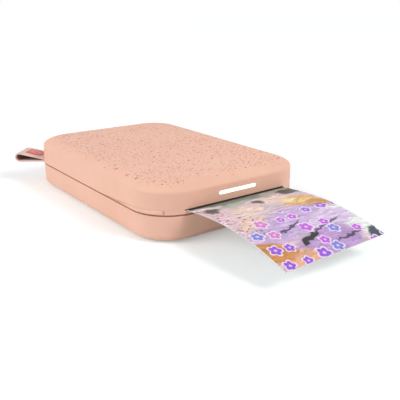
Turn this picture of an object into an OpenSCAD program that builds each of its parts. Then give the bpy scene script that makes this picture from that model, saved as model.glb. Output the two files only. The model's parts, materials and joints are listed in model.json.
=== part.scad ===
// Compact photo printer: a palm-sized case with a paper tray under a tilting top cover,
// a small thermal print engine at the front and a woven pull tab at one rear corner.
// The origin is the middle of the rest face. The print leaves towards -Y.

/* [Paper] */
// Width of a sheet
paper_w = 50.8; // [48:0.2:54]
// Length of a sheet
paper_l = 76.2; // [72:0.2:80]
// Thickness of a sheet in the tray
sheet_t = 0.22; // [0.15:0.01:0.24]
// Sheets in the tray
sheets = 10; // [4:1:10]

/* [Case] */
// Room beside the paper on each side, up to the outside of the case
side_room = 14.6; // [14.2:0.2:18]
// Room ahead of the tray, up to the front face
front_room = 35.8; // [35.4:0.2:40]
// Room behind the tray, up to the rear face
rear_room = 6; // [5.6:0.2:10]
// Room above the lip, up to the top of the case
cover_room = 9.9; // [9.8:0.1:13]
// Radius of the case's corners, seen from above
corner_r = 17; // [15.5:0.5:18]
// Thickness of the case's walls
wall = 1.6; // [1.3:0.1:1.7]
// Radius of the cover's shoulder, where its side turns into its crown
edge_r = 1.8; // [1.75:0.05:2.4]
// Radius of the cover's crown
crown_r = 14; // [12:0.5:18]
// Height of the crown above the shoulder
crown_h = 3.5; // [3:0.1:3.8]
// Radius along the base's lower edge
bottom_r = 3; // [2:0.25:3.5]
// Height of the base shell
base_h = 10.45; // [10.3:0.05:10.9]
// Height of the groove between base and cover
seam_gap = 0.7; // [0.5:0.05:0.9]

/* [Lip] */
// How far the cover's lower edge rises at the front
lip_rise = 1.95; // [1.8:0.05:2.2]
// Distance from the front face to where the edge starts to rise
lip_start = 45; // [38:1:52]
// Distance from the front face to where the edge is level again
lip_level = 7; // [4:0.5:12]
// Gap between the cover's lower edge and the band below it
band_gap = 0.3; // [0.2:0.05:0.4]
// How far the side band leans in towards its upper edge
band_lean = 1.5; // [1:0.1:1.6]
// Width of the slot bezel, from crease to crease
bezel_w = 67; // [62:1:70]

/* [Feet] */
// Diameter of a foot
foot_d = 9; // [6:0.5:10]
// Thickness of a foot
foot_t = 1.6; // [1.4:0.1:1.9]
// How far a foot stands out below the case
foot_stand = 0.8; // [0.6:0.1:1]

/* [Frame] */
// Gap between the case wall's face and the frame's rim, at the sides and the front
rim_gap = 0.4; // [0.3:0.05:0.5]
// Thickness of the frame's rim
rim_t = 1.2; // [1:0.1:1.4]
// Thickness of the tray's deck
deck_t = 1.2; // [1:0.1:1.4]
// Gap between a sheet's edge and the tray's side guide
tray_gap = 0.3; // [0.2:0.05:0.4]

/* [Print] */
// How far the print reaches out of the slot, measured along the table
print_reach = 53; // [20:1:54]
// Thickness of the print
print_t = 0.3; // [0.2:0.05:0.35]
// How strongly the print climbs as it leaves the slot
print_climb = 6; // [2:0.5:7]
// How strongly its free end curls down
print_curl = 11; // [6:0.5:11]
// How far one front corner is lower than the middle of the front edge
print_twist = 0.6; // [0:0.1:1]

/* [Rollers] */
// Diameter of the platen roller
platen_d = 7; // [6.6:0.1:7.2]
// Diameter of the pickup roller
pickup_d = 9.2; // [8.8:0.1:9.3]
// Length of the pickup roller
pickup_l = 20; // [14:1:26]
// Diameter of the roller shafts
shaft_d = 2.5; // [2:0.1:2.8]
// Distance from the front face to the platen's axis
platen_back = 27; // [26.6:0.1:27.6]

/* [Gears] */
// Gear module
gear_module = 0.5; // [0.46:0.01:0.5]
// Teeth of the platen gear
platen_teeth = 20; // [18:1:20]
// Teeth of the pickup gear
pickup_teeth = 20; // [18:1:20]
// Teeth of the idler
idler_teeth = 12; // [10:1:12]
// Teeth of the motor pinion
pinion_teeth = 10; // [9:1:10]
// Teeth of the reduction gear's large wheel
wheel_teeth = 24; // [22:1:24]
// Teeth of the reduction gear's small wheel
step_teeth = 10; // [9:1:10]
// Width of a gear
gear_w = 2; // [1.6:0.1:2]

/* [Motor] */
// Width of the motor can
motor_w = 11; // [9:0.5:11.5]
// Height of the motor can
motor_h = 8.4; // [7:0.2:8.6]
// Length of the motor can
motor_l = 14; // [10:1:16]
// Diameter of the motor shaft
motor_shaft_d = 1.5; // [1:0.1:2]
// Distance from the front face to the motor's axis
motor_back = 14; // [13.6:0.2:15]

/* [Battery] */
// Width of the battery
battery_w = 44; // [36:1:46]
// Length of the battery
battery_l = 37; // [30:1:37.5]
// Thickness of the battery
battery_h = 6; // [4:0.25:7]

/* [Board] */
// Width of the main board
board_w = 56; // [54:1:57]
// Thickness of the main board
board_t = 1; // [0.8:0.1:1.6]

/* [Rear face] */
// Diameter of the power button
button_d = 6; // [5:0.2:6.4]
// Travel of the power button
button_travel = 0.6; // [0.4:0.05:0.6]
// How far the power button stands out
button_proud = 0.4; // [0:0.1:0.8]

/* [Light] */
// Length of the light bar
light_l = 19.4; // [16:0.5:24]
// Height of the light bar
light_h = 1.5; // [1.4:0.1:2.2]

/* [Tab] */
// Width of the webbing
strap_w = 12; // [10:0.5:13]
// Thickness of one ply of webbing
strap_t = 1; // [0.8:0.05:1]
// How far the loop reaches out of the corner
strap_reach = 15; // [13:0.5:20]
// Radius of the loop's round end
strap_r = 3.1; // [2.8:0.1:3.4]

/* [Hidden] */
$fn = 48;

case_w = paper_w + 2 * side_room;
case_l = paper_l + front_room + rear_room;
front_y = -case_l / 2;
rear_y = case_l / 2;
bottom_z = foot_stand;
floor_z = bottom_z + wall;
rim_top_z = bottom_z + base_h;
cover_z = rim_top_z + seam_gap;
lip_top_z = cover_z + lip_rise;
top_z = lip_top_z + cover_room;
case_h = top_z - bottom_z;
ceiling_z = top_z - wall;
crown_z = top_z - crown_h;
crown_run = edge_r + sqrt(pow(crown_r - edge_r, 2) - pow(crown_r - crown_h, 2));
over = 1;                       // how far a cut runs past the face it opens
touch = 0.05;                   // running clearance round a shaft or pin
free_gap = 0.15;                // clearance of a stack of parts that only meet at a face

// Lip of the cover
lip_from_y = front_y + lip_start;
lip_to_y = front_y + lip_level;
lip_steps = 16;
band_inset = 0.2;
band_foot = 0.35;
bezel_inset = 0.8;
rear_lift = 0.95;               // how much higher the cover's rear edge sits, to swing clear
rear_cut_y = rear_y - 3;
rear_ramp = 3;

// Frame
rim_inset = wall + rim_gap;
rim_rear_inset = 3.8;
rim_low_z = rim_top_z - 1.65;
tray_z = rim_top_z + 3.35;
deck_z = tray_z - deck_t;
tray_w = paper_w + 2 * tray_gap;
guide_t = 1;
guide_h = 3;
window_gap = 1;                 // round the pickup roller, in the deck
deck_gap = 1.4;                 // from the chassis to the deck's full width
tray_front_y = front_y + front_room;
sheet_pitch = sheet_t + 0.02;
stack_top_z = tray_z + sheets * sheet_pitch;

sensor_size = [4, 4, 2];

// Print path
path_z = lip_top_z - 0.55;
path_top_z = path_z + print_t;
sill_z = path_z - 0.4;
slot_w = paper_w + 1.6;
guide_plate_t = 0.8;
guide_plate_w = slot_w - 1.2;
exit_y = front_y - 1;
curl_power = 2.2;
print_steps = 28;
print_cols = 4;

// Rollers and gears: [y, z] of each axis
axis_z = path_z - touch - platen_d / 2;
platen_at = [front_y + platen_back, axis_z];
guide_plate_l = platen_at.x - platen_d / 2 - 1.2 - front_y - rim_inset;
idler_at = [platen_at.x + gear_module * (platen_teeth + idler_teeth) / 2, axis_z];
pickup_at = [idler_at.x + gear_module * (idler_teeth + pickup_teeth) / 2, axis_z];
motor_at = [front_y + motor_back, floor_z + 1.2 + motor_h / 2];
wheel_at = above(platen_at, motor_at,
    gear_module * (platen_teeth + step_teeth) / 2, gear_module * (pinion_teeth + wheel_teeth) / 2);
idler_phase = mesh_phase(platen_at, idler_at, 0, platen_teeth, idler_teeth);
pickup_phase = mesh_phase(idler_at, pickup_at, idler_phase, idler_teeth, pickup_teeth);
step_phase = mesh_phase(platen_at, wheel_at, 0, platen_teeth, step_teeth);
pinion_phase = mesh_phase(wheel_at, motor_at, 0, wheel_teeth, pinion_teeth);

tooth_root = 1.1;               // depth below and height above the pitch line, in modules
tooth_tip = 0.75;
tooth_root_half = 0.3;          // half thickness at root and tip, in pitches
tooth_tip_half = 0.11;

// Print engine, across: the chassis plates stand just outside the tray
plate_x = tray_w / 2 + guide_t + 0.4;
plate_t = 1;
tray_t = 0.8;
plate_out_x = plate_x + plate_t;
gear_x = plate_out_x + 1.5;
wheel_x = gear_x + gear_w + 0.7;
bush_r = shaft_d / 2 + 0.75;
bush_flange_r = bush_r + 0.7;
bush_flange_t = 0.5;
shaft_end = 0.8;                // how far a shaft stands out of the left-hand plate
axle_r = 1;
axle_head_r = axle_r + 0.5;
axle_head_t = 0.5;
axle_play = 0.15;
motor_nose_l = 5;
motor_nose_r = 2.2;
motor_x = plate_x - motor_nose_l - motor_l;
bearing_depth = 0.5;
roller_l = paper_w + 1.2;
plate_front_y = front_y + 10.4;
plate_rear_y = pickup_at.x + 5.6;
tower_front_y = platen_at.x - 12.5;
tower_rear_y = platen_at.x + 3.5;
plate_low_top = axis_z + 3;
bridge_t = 0.8;
bridge_z = ceiling_z - 1.8;
bridge_l = 8;
bridge_back = 6;
sensor_at = [18, plate_rear_y + 3];
engine_screws_at = [[-20, plate_front_y + 6.6], [-20, idler_at.x], [20, idler_at.x]];

// Print head
head_gap = print_t + touch;
ceramic_t = 0.85;
ceramic_l = 5;
sink_l = 8;
sink_h = 2.95;
head_w = 2 * plate_x - 1.4;
ceramic_w = head_w - 1.2;
fins = 5;
fin_floor = 1;
fin_roof = 0.6;
sink_z = path_z + head_gap + ceramic_t;
bracket_z = sink_z + sink_h;
bracket_t = 0.8;
bracket_lug = 1.5;
pivot_at = [platen_at.x - 11, sink_z + 1.85];
pivot_r = 0.8;
spring_wire = 0.4;
head_spring_x = 14;
head_spring_r = 1.8;

// Cover hinge
hinge_at = [rear_y - 2.6, tray_z];
hinge_r = 0.7;
ear_r = 1.4;
lug_x = 17.2;
lug_t = 2;
lug_gap = 0.4;
ear_x = lug_x + lug_t + lug_gap;
ear_t = 2;
ear_relief = 0.7;

// Pressure plate
press_w = 28;
press_l = 32;
press_t = 0.8;
press_z = stack_top_z + free_gap;
press_x = 9;
press_y = pickup_at.x + 12;
post_r = 1;
press_travel = 1.6;
post_h = ceiling_z - press_z - press_t - press_travel;
sleeve_r = 2.2;
sleeve_h = 2.6;

// Screws
rear_boss_in = [6.5, 21];       // from the side and the rear face
front_boss_in = [11.4, 7.2];    // from the side and the front face
case_screws_at = [
    [case_w / 2 - rear_boss_in.x, rear_y - rear_boss_in.y],
    [case_w / 2 - front_boss_in.x, front_y + front_boss_in.y]
];
boss_r = 2.5;
rib_t = 1.6;
screw_r = 1;
screw_head_r = 1.9;
screw_head_t = 1;
head_sink = 0.2;
boss_roof = 0.6;                // left over a case screw's end
foot_at = [case_w / 2 - 13, case_l / 2 - 14.5];

// Board at the rear
board_z = floor_z + 3.2;
board_top_z = board_z + board_t;
board_l = 21.5;
board_rear_y = rear_y - 3.5;
board_front_y = board_rear_y - board_l;
board_screw_x = 24.5;
board_screw_y = [board_front_y + 3, board_rear_y - 4.5];
recess_span = 1.2;              // a driver recess's length and width over its screw head's radius
recess_gap = 0.24;
small_screw_r = 0.6;
small_head_r = 1.3;
small_head_t = 0.8;
standoff_r = 1.9;
chip_at = [-4, board_front_y + 4];
chip_size = [9, 9, 1];
radio_at = [9, board_front_y + 3];
radio_size = [12, 9, 1.6];
row_at = [-16, board_rear_y - 8];       // a row of small capacitors
row_pitch = 2.2;
row_size = [1.2, 0.8, 0.7];
coil_at = [-8, board_front_y + 8.5];
coil_r = 1.8;
coil_h = 1.6;
socket_at = [2 - board_w / 2, board_front_y + 4.8];
socket_size = [7, 2.6, 2.35];
ribbon_w = 5;
ribbon_t = 0.2;
ribbon_back = 6;                // from the platen's axis to the ribbon's front edge
ribbon_hole = 1.8;
ribbon_side_gap = 1.9;
ribbon_end = 0.5;               // how far the ribbon stays short of the head's end
port_z = board_top_z + 1.35;
usb_x = -10;
usb_w = 7.6;
usb_h = 2.7;
usb_l = 5.6;
usb_t = 0.3;
usb_tongue_w = 4.4;
port_gap = 0.4;
rear_z = floor_z + 5.2;
power_x = 12;
reset_x = 20;
reset_r = 0.5;
reset_travel = 0.3;
charge_x = 3;
charge_r = 0.8;
reset_sunk = 0.6;
button_rim = 0.55;
flange_t = 0.8;
flange_y = rear_y - wall - 2 * free_gap - flange_t;
switch_gap = 0.2;               // from a switch's plunger to its button
switch_l = 3;
reset_switch_w = 4;
power_switch_y = flange_y - switch_gap - 2 * button_travel;
reset_switch_y = flange_y - switch_gap - reset_travel;

// Battery
battery_rear_y = board_front_y - 4;
battery_r = 1.2;
pad_t = 0.5;
pad_in = 3;
battery_z = floor_z + pad_t;

battery_lead_x = 7 - battery_w / 2;
plug_size = [4.8, 4, 2.2];
plug_pitch = 1.6;
plug_y = board_front_y + 1;
lead_r = 0.45;
lead_pitch = 1.05;
lead_side_gap = 0.8;            // from the chassis plate to the motor's wires
lead_in = 0.6;

// Light bar
light_z = lip_top_z + 3.6;
flange_grow = 0.8;
window_flange_t = 0.6;
led_board_t = 0.8;
led_t = 0.4;
led_y = front_y + wall + window_flange_t + 0.4 + led_t;
bridge_bar_z = path_top_z + 0.55;
bridge_bar_top = tray_z + 1;
bridge_bar_w = bezel_w - 6;
bridge_bar_d = 2.6;
led_board_h = 4;
led_size = [1.6, 1.4];

// Tab: its own frame runs outwards from the rear-left corner
corner_x = case_w / 2 - corner_r * (1 - cos(45));
corner_y = case_l / 2 - corner_r * (1 - sin(45));
strap_z = rim_top_z + 0.4;
tab_notch_z = strap_z + strap_t + 0.8;     // the cover's edge dips towards the webbing as it tilts
tab_notch_side = 2.2;           // and its corner swings forwards past the webbing's rear edge
strap_loop = [strap_reach - strap_r, strap_z + 2.1];
strap_in = 9;
strap_screw_s = -6.5;
strap_screw_l = 2.4;            // how deep the screw goes below the webbing
strap_head_t = 0.6;
shelf_t = 1.2;
shelf_boss_h = 3.2;
shelf_boss_r = 1.6;
strap_inner = [1, strap_z];
strap_top_tip = [0, strap_z + strap_t];
strap_low_tip = [0, strap_z - strap_t];

// ---- Functions ----

// Smooth step from 0 to 1
function ease(t) = let(u = min(1, max(0, t))) u * u * (3 - 2 * u);

// Height of the cover's lower edge
function lip_z(y) = cover_z + lip_rise * ease((lip_from_y - y) / (lip_from_y - lip_to_y));

// The upper point at distance a from p and b from q
function above(p, q, a, b) =
    let(d = norm(q - p), u = (q - p) / d, s = (a * a - b * b + d * d) / (2 * d))
    p + u * s + [u.y, -u.x] * sqrt(a * a - s * s);

// Turn of gear j at q so that it meshes with gear i at p, whose own turn is given
function mesh_phase(p, q, turn, i_teeth, j_teeth) =
    let(way = atan2(q.y - p.y, q.x - p.x))
    way + 180 - (turn - way) * i_teeth / j_teeth - 180 / j_teeth;

// Height of the print's underside
function print_z(x, y) =
    let(u = max(0, (exit_y - y) / print_reach))
    path_z + print_climb * u - print_curl * pow(u, curl_power) + print_twist * 2 * x / paper_w * u * u;

// Length of the print's curved stretch, by its chords
function print_arc(i = 0) = i == print_steps ? 0
    : let(a = exit_y - i * print_reach / print_steps, b = a - print_reach / print_steps)
    norm([b - a, print_z(0, b) - print_z(0, a)]) + print_arc(i + 1);

// Where a line from p touches a circle: side is 1 or -1
function tangent(p, centre, r, side) =
    let(v = p - centre, a = atan2(v.y, v.x) + side * acos(r / norm(v)))
    centre + r * [cos(a), sin(a)];

// ---- Helpers ----

// Extrudes a [y, z] drawing along X
module across(length) {
    rotate([90, 0, 90]) linear_extrude(length, center = true) children();
}

// Extrudes a [y, z] drawing along X, from x on
module from_x(x, length) {
    translate([x, 0, 0]) rotate([90, 0, 90]) linear_extrude(length) children();
}

// Extrudes an [x, z] drawing along Y
module along(length) {
    rotate([90, 0, 0]) linear_extrude(length, center = true) children();
}

// Sides: the children, and their mirror image in X
module pair() {
    children();
    mirror([1, 0, 0]) children();
}

// Sweeps a section of one corner round the case's plan, and fills its middle from low to high.
// The section is drawn from the corner's axis out to corner_r.
module swept(low, high) {
    x = case_w / 2 - corner_r;
    y = case_l / 2 - corner_r;
    corners = [[x, y], [-x, y], [-x, -y], [x, -y]];
    for (i = [0:3])
        translate([corners[i].x, corners[i].y, 0])
            rotate(90 * i) rotate_extrude(angle = 90) children();
    for (i = [0, 1])
        rotate(180 * i) {
            translate([x, 0, 0]) along(2 * y) children();
            translate([0, y, 0]) across(2 * x) children();
        }
    translate([-x - over, -y - over, low]) cube([2 * (x + over), 2 * (y + over), high - low]);
}

// The case's plan, set in by a distance, and by another at the rear
module plan(inset, rear_inset) {
    r = corner_r - inset;
    w = case_w / 2 - inset;
    low = front_y + inset;
    high = rear_y - rear_inset;
    translate([-w, low + r]) square([2 * w, high - low - 2 * r]);
    translate([r - w, low]) square([2 * (w - r), high - low]);
    for (x = [-1, 1], y = [low + r, high - r])
        translate([x * (w - r), y]) circle(r);
}

// Section of the cover, set in by t
module cover_section(low, t) {
    centre = [corner_r - crown_run, top_z - crown_r];
    way = [crown_run - edge_r, crown_r - crown_h];
    pivot = [corner_r - edge_r, crown_z];
    turn = pivot + (edge_r - t) * way / norm(way);
    polygon([
        [0, low], [corner_r - t, low], [corner_r - t, crown_z], pivot, turn,
        [centre.x, top_z - t], [0, top_z - t]
    ]);
    intersection() {
        translate(pivot) circle(edge_r - t);
        polygon([pivot, pivot + way, [2 * corner_r, 2 * top_z], [2 * corner_r, crown_z]]);
    }
    intersection() {
        translate(centre) circle(crown_r - t);
        polygon([centre, centre + 2 * way, centre + [0, 2 * crown_r]]);
    }
}

// Section of the base, set in by t
module base_section(high, t) {
    low = bottom_z + t;
    translate([0, bottom_z + bottom_r]) square([corner_r - t, high - bottom_z - bottom_r]);
    translate([0, low]) square([corner_r - bottom_r, high - low]);
    translate([corner_r - bottom_r, bottom_z + bottom_r]) circle(bottom_r - t);
}

// Section of the side band: upright at its foot, then leaning in
module band_section() {
    edge = corner_r - band_inset;
    polygon([
        [0, cover_z], [edge, cover_z], [edge, cover_z + band_foot],
        [edge - band_lean, lip_top_z], [0, lip_top_z]
    ]);
}

// Everything above the lip line dropped by a distance
module above_lip(drop) {
    across(2 * case_w) polygon(concat(
        [[case_l, top_z], [case_l, lip_z(lip_from_y) - drop]],
        [for (i = [0:lip_steps])
            let(y = lip_from_y - i * (lip_from_y - lip_to_y) / lip_steps) [y, lip_z(y) - drop]],
        [[-case_l, lip_top_z - drop], [-case_l, top_z]]
    ));
}

// Everything below the lip line, ahead of where it starts to rise
module below_lip() {
    across(2 * case_w) polygon(concat(
        [[lip_from_y, cover_z - 2 * over]],
        [for (i = [0:lip_steps])
            let(y = lip_from_y - i * (lip_from_y - lip_to_y) / lip_steps) [y, lip_z(y)]],
        [[-case_l, lip_top_z], [-case_l, cover_z - 2 * over]]
    ));
}

// Puts the children in the tab's frame: X runs out of the corner, Y across the webbing
module at_tab() {
    translate([-corner_x, corner_y, 0]) rotate([0, 0, 135]) children();
}

// Case screws stand at four places
module at_case_screws() {
    pair() for (p = case_screws_at) translate([p.x, p.y, 0]) children();
}

module at_board_screws() {
    for (x = [-1, 1], y = board_screw_y) translate([x * board_screw_x, y, 0]) children();
}

module at_engine_screws() {
    for (p = engine_screws_at) translate([p.x, p.y, 0]) children();
}

// A gear's outline, with straight-sided teeth and some backlash
module gear_outline(teeth) {
    low = gear_module * (teeth / 2 - tooth_root);
    tip = gear_module * (teeth / 2 + tooth_tip);
    a = PI * gear_module * tooth_root_half;
    b = PI * gear_module * tooth_tip_half;
    circle(low);
    for (i = [0:teeth - 1])
        rotate(i * 360 / teeth)
            polygon([[low / 2, -a / 2], [low, -a], [tip, -b], [tip, b], [low, a], [low / 2, a / 2]]);
}

// A gear on the axis p, from x on, with a bore
module gear(p, x, width, teeth, turn, bore_r) {
    from_x(x, width) translate(p) difference() {
        rotate(turn) gear_outline(teeth);
        circle(bore_r);
    }
}

// A rod along X on the axis p
module rod(p, x, length, r) {
    from_x(x, length) translate(p) circle(r);
}

// A coil spring standing on z = 0
module coil(r, turns, height) {
    sides = 6;
    steps = 12;
    rings = steps * turns;
    rise = height - spring_wire;
    points = [for (i = [0:rings], k = [0:sides - 1])
        let(a = 360 * i / steps, b = 360 * k / sides, q = r + spring_wire / 2 * cos(b))
        [q * cos(a), q * sin(a), spring_wire / 2 + rise * i / rings + spring_wire / 2 * sin(b)]];
    skin = [for (i = [0:rings - 1], k = [0:sides - 1])
        let(a = i * sides + k, b = i * sides + (k + 1) % sides) [a, a + sides, b + sides, b]];
    polyhedron(points, concat(skin, [
        [for (k = [0:sides - 1]) k],
        [for (k = [sides - 1:-1:0]) rings * sides + k]
    ]));
}

// ---- Case ----

module base_shell() {
    color([0.93, 0.77, 0.70]) difference() {
        union() {
            swept(bottom_z, floor_z) difference() {
                base_section(rim_top_z, 0);
                base_section(rim_top_z + over, wall);
            }
            at_case_screws() translate([0, 0, floor_z - wall / 2])
                cylinder(h = rim_low_z - floor_z + wall / 2, r = boss_r);
            at_board_screws() translate([0, 0, floor_z - wall / 2])
                cylinder(h = board_z - floor_z + wall / 2, r = standoff_r);
        }
        pair() for (y = [-1, 1])
            translate([foot_at.x, y * foot_at.y, 0])
                cylinder(h = foot_t, r = foot_d / 2 + touch);
        at_case_screws() {
            cylinder(h = rim_low_z + over, r = screw_r + touch);
            cylinder(h = bottom_z + screw_head_t + head_sink, r = screw_head_r + 2 * touch);
        }
        at_board_screws() translate([0, 0, floor_z]) cylinder(h = board_z, r = small_screw_r);
        at_engine_screws() translate([0, 0, floor_z - wall / 2]) cylinder(h = wall, r = small_screw_r);
        rear_openings();
        at_tab() translate([-3 * wall, -strap_w / 2 - free_gap, strap_z - strap_t - free_gap])
            cube([3 * wall + over, strap_w + 2 * free_gap, 2 * strap_t + over]);
    }
}

// Port, button, pinhole and light holes through the rear wall
module rear_openings() {
    translate([usb_x - usb_w / 2 - port_gap, rear_y - wall - over, port_z - usb_h / 2 - port_gap])
        cube([usb_w + 2 * port_gap, wall + 2 * over, usb_h + 2 * port_gap]);
    rear_bore(power_x, button_d / 2 + 2 * touch);
    rear_bore(reset_x, reset_r + 4 * touch);
    rear_bore(charge_x, charge_r);
}

module rear_bore(x, r) {
    translate([x, rear_y + over, rear_z]) rotate([90, 0, 0]) cylinder(h = wall + 2 * over, r = r);
}

module rubber_feet() {
    color([0.35, 0.33, 0.33]) pair() for (y = [-1, 1])
        translate([foot_at.x, y * foot_at.y, 0]) cylinder(h = foot_t, r = foot_d / 2);
}

module case_screws() {
    color([0.7, 0.7, 0.72]) at_case_screws() translate([0, 0, bottom_z + head_sink]) difference() {
        union() {
            cylinder(h = screw_head_t, r = screw_head_r);
            cylinder(h = deck_z - boss_roof - bottom_z - head_sink, r = screw_r);
        }
        cross_recess(screw_head_r, screw_head_t / 2);
    }
}

// A cross-shaped driver recess, cut upwards from z = 0
module cross_recess(r, depth) {
    for (a = [0, 90])
        rotate(a) translate([-r * recess_span / 2, -r * recess_gap / 2, -over])
            cube([r * recess_span, r * recess_gap, depth + over]);
}

module mid_frame() {
    color([0.88, 0.70, 0.62]) difference() {
        union() {
            translate([0, 0, rim_low_z]) linear_extrude(tray_z - rim_low_z) difference() {
                plan(rim_inset, rim_rear_inset);
                plan(rim_inset + rim_t, rim_rear_inset + rim_t);
            }
            translate([0, 0, deck_z]) linear_extrude(deck_t) intersection() {
                plan(rim_inset + rim_t / 2, rim_rear_inset + rim_t / 2);
                deck_outline();
            }
            tray_guides();
            side_bands();
            light_bridge();
            hinge_ears();
            frame_bosses();
            tab_shelf();
        }
        frame_cuts();
    }
}

module deck_outline() {
    w = tray_w / 2 + guide_t;
    translate([-w, tray_front_y]) square([2 * w, case_l]);
    translate([-case_w / 2, plate_rear_y + deck_gap]) square([case_w, case_l]);
}

module tray_guides() {
    pair() translate([tray_w / 2, tray_front_y, deck_z + deck_t / 2])
        cube([guide_t, paper_l - over, guide_h + deck_t / 2]);
}

// The bright strip under the lip at each side, up to the bezel's creases
module side_bands() {
    difference() {
        intersection() {
            swept(cover_z, lip_top_z) band_section();
            translate([-case_w / 2, front_y, cover_z]) cube([case_w, lip_start, case_h]);
        }
        translate([0, 0, cover_z - over]) linear_extrude(case_h)
            plan(rim_inset + rim_t / 2, rim_rear_inset);
        above_lip(band_gap);
        translate([-bezel_w / 2 - touch, front_y - over, cover_z - over])
            cube([bezel_w + 2 * touch, corner_r, case_h]);
    }
}

// A bar over the print's path that carries the light's board
module light_bridge() {
    intersection() {
        translate([-bridge_bar_w / 2, led_y, bridge_bar_z])
            cube([bridge_bar_w, bridge_bar_d, bridge_bar_top - bridge_bar_z]);
        linear_extrude(case_h) plan(rim_inset, rim_rear_inset);
    }
}

module hinge_ears() {
    pair() {
        rod(hinge_at, ear_x, ear_t, ear_r);
        translate([ear_x, rear_y - rim_rear_inset - rim_t, hinge_at.y - ear_r])
            cube([ear_t, hinge_at.x - rear_y + rim_rear_inset + rim_t, 2 * ear_r]);
    }
}

module frame_bosses() {
    at_case_screws() translate([0, 0, rim_low_z]) cylinder(h = deck_z - rim_low_z, r = boss_r);
    // ribs that tie the front bosses to the rim
    pair() intersection() {
        translate([case_screws_at[1].x - rib_t / 2, front_y, rim_low_z])
            cube([rib_t, case_screws_at[1].y - front_y, deck_z - rim_low_z]);
        linear_extrude(case_h) plan(rim_inset + rim_t / 2, rim_rear_inset);
    }
}

// Shelf that the webbing is screwed to
module tab_shelf() {
    intersection() {
        at_tab() translate([-strap_in - over, -strap_w / 2 - over, strap_z - strap_t - shelf_t])
            cube([strap_in, strap_w + 2 * over, shelf_t]);
        linear_extrude(case_h) plan(rim_inset + rim_t / 2, rim_rear_inset + rim_t / 2);
    }
    at_tab() translate([strap_screw_s, 0, strap_z - strap_t - shelf_boss_h])
        cylinder(h = shelf_boss_h - shelf_t / 2, r = shelf_boss_r);
}

module frame_cuts() {
    // window for the print and the bezel's guide plate
    translate([-slot_w / 2 - free_gap, front_y, sill_z - guide_plate_t - touch])
        cube([slot_w + 2 * free_gap, rim_inset + rim_t + over,
            bridge_bar_z - sill_z + guide_plate_t + touch]);
    // window in the deck for the pickup roller
    translate([-pickup_l / 2 - window_gap, pickup_at.x - pickup_d / 2 - window_gap, deck_z - over])
        cube([pickup_l + 2 * window_gap, pickup_d + 2 * window_gap, deck_t + 2 * over]);
    // slot for the webbing through the rim
    at_tab() translate([-strap_in - free_gap, -strap_w / 2 - free_gap, strap_z - strap_t])
        cube([strap_in + rim_rear_inset / 2, strap_w + 2 * free_gap, 2 * strap_t + free_gap]);
    at_tab() translate([strap_screw_s, 0, 0]) cylinder(h = strap_z, r = small_screw_r);
    // pilot holes for the case screws
    at_case_screws() cylinder(h = deck_z - boss_roof, r = screw_r);
    // hinge bores, and room for the cover's lugs
    pair() {
        rod(hinge_at, ear_x - over, ear_t + 2 * over, hinge_r + touch);
        translate([lug_x - lug_gap, rear_y - rim_rear_inset - rim_t - over, deck_z])
            cube([lug_t + 2 * lug_gap - touch, rim_t + 3 * over, case_h]);
    }
}

module slot_bezel() {
    color([0.80, 0.62, 0.54]) {
        difference() {
            translate([0, 0, cover_z]) linear_extrude(lip_rise - band_gap) difference() {
                intersection() {
                    plan(bezel_inset, bezel_inset);
                    translate([-bezel_w / 2, front_y]) square([bezel_w, corner_r]);
                }
                plan(rim_inset, rim_inset);
            }
            translate([-slot_w / 2, front_y, sill_z]) cube([slot_w, corner_r, case_h]);
        }
        // guide plate that the print slides on
        translate([-guide_plate_w / 2, front_y + rim_inset - touch, sill_z - guide_plate_t])
            cube([guide_plate_w, guide_plate_l, guide_plate_t]);
    }
}

module top_cover() {
    color([0.95, 0.79, 0.71]) difference() {
        union() {
            swept(ceiling_z, top_z) difference() {
                cover_section(cover_z, 0);
                cover_section(cover_z - over, wall);
            }
            hinge_lugs();
            press_sleeves();
        }
        below_lip();
        rear_clearance();
        light_opening(0, front_y - over, wall + 2 * over);
        at_tab() translate([-3 * wall, -strap_w / 2 - tab_notch_side, cover_z - over])
            cube([3 * wall + over, strap_w + free_gap + tab_notch_side, tab_notch_z - cover_z + over]);
    }
}

// Lugs that carry the hinge pins
module hinge_lugs() {
    pair() difference() {
        intersection() {
            from_x(lug_x, lug_t) {
                translate(hinge_at) circle(ear_r);
                translate([hinge_at.x - ear_r, hinge_at.y]) square([case_l, case_h]);
            }
            swept(cover_z, top_z - wall / 2) cover_section(cover_z, wall / 2);
        }
        rod(hinge_at, lug_x - over, lug_t + 2 * over, hinge_r);
    }
}

// Sleeves that guide the pressure plate's posts
module press_sleeves() {
    pair() translate([press_x, press_y, ceiling_z - sleeve_h]) difference() {
        cylinder(h = sleeve_h + wall / 2, r = sleeve_r);
        translate([0, 0, -over]) cylinder(h = sleeve_h + over, r = post_r + 2 * touch);
    }
}

// The cover's rear edge is higher, and thinner beside the ears, so that it can swing
module rear_clearance() {
    across(2 * case_w) polygon([
        [rear_cut_y - rear_ramp, cover_z - over], [rear_cut_y - rear_ramp, cover_z],
        [rear_cut_y, cover_z + rear_lift], [case_l, cover_z + rear_lift], [case_l, cover_z - over]
    ]);
    pair() translate([ear_x - lug_gap, rear_y - wall - over, cover_z])
        cube([ear_t + 2 * lug_gap, ear_relief + over, hinge_at.y + ear_r + over - cover_z]);
}

// The light bar's outline, grown by a distance, cut along +Y from y
module light_opening(grow, y, depth) {
    half = light_l / 2 - light_h / 2;
    translate([0, y + depth, light_z]) rotate([90, 0, 0]) linear_extrude(depth) {
        translate([-half, -light_h / 2 - grow]) square([2 * half, light_h + 2 * grow]);
        for (x = [-half, half]) translate([x, 0]) circle(light_h / 2 + grow);
    }
}

module led_window() {
    color([1, 1, 1]) {
        light_opening(0, front_y, wall);
        light_opening(flange_grow, front_y + wall, window_flange_t);
    }
}

module cover_hinge_pins() {
    color([0.75, 0.75, 0.77]) pair() rod(hinge_at, lug_x, ear_x + ear_t + 2 * free_gap - lug_x, hinge_r);
}

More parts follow.
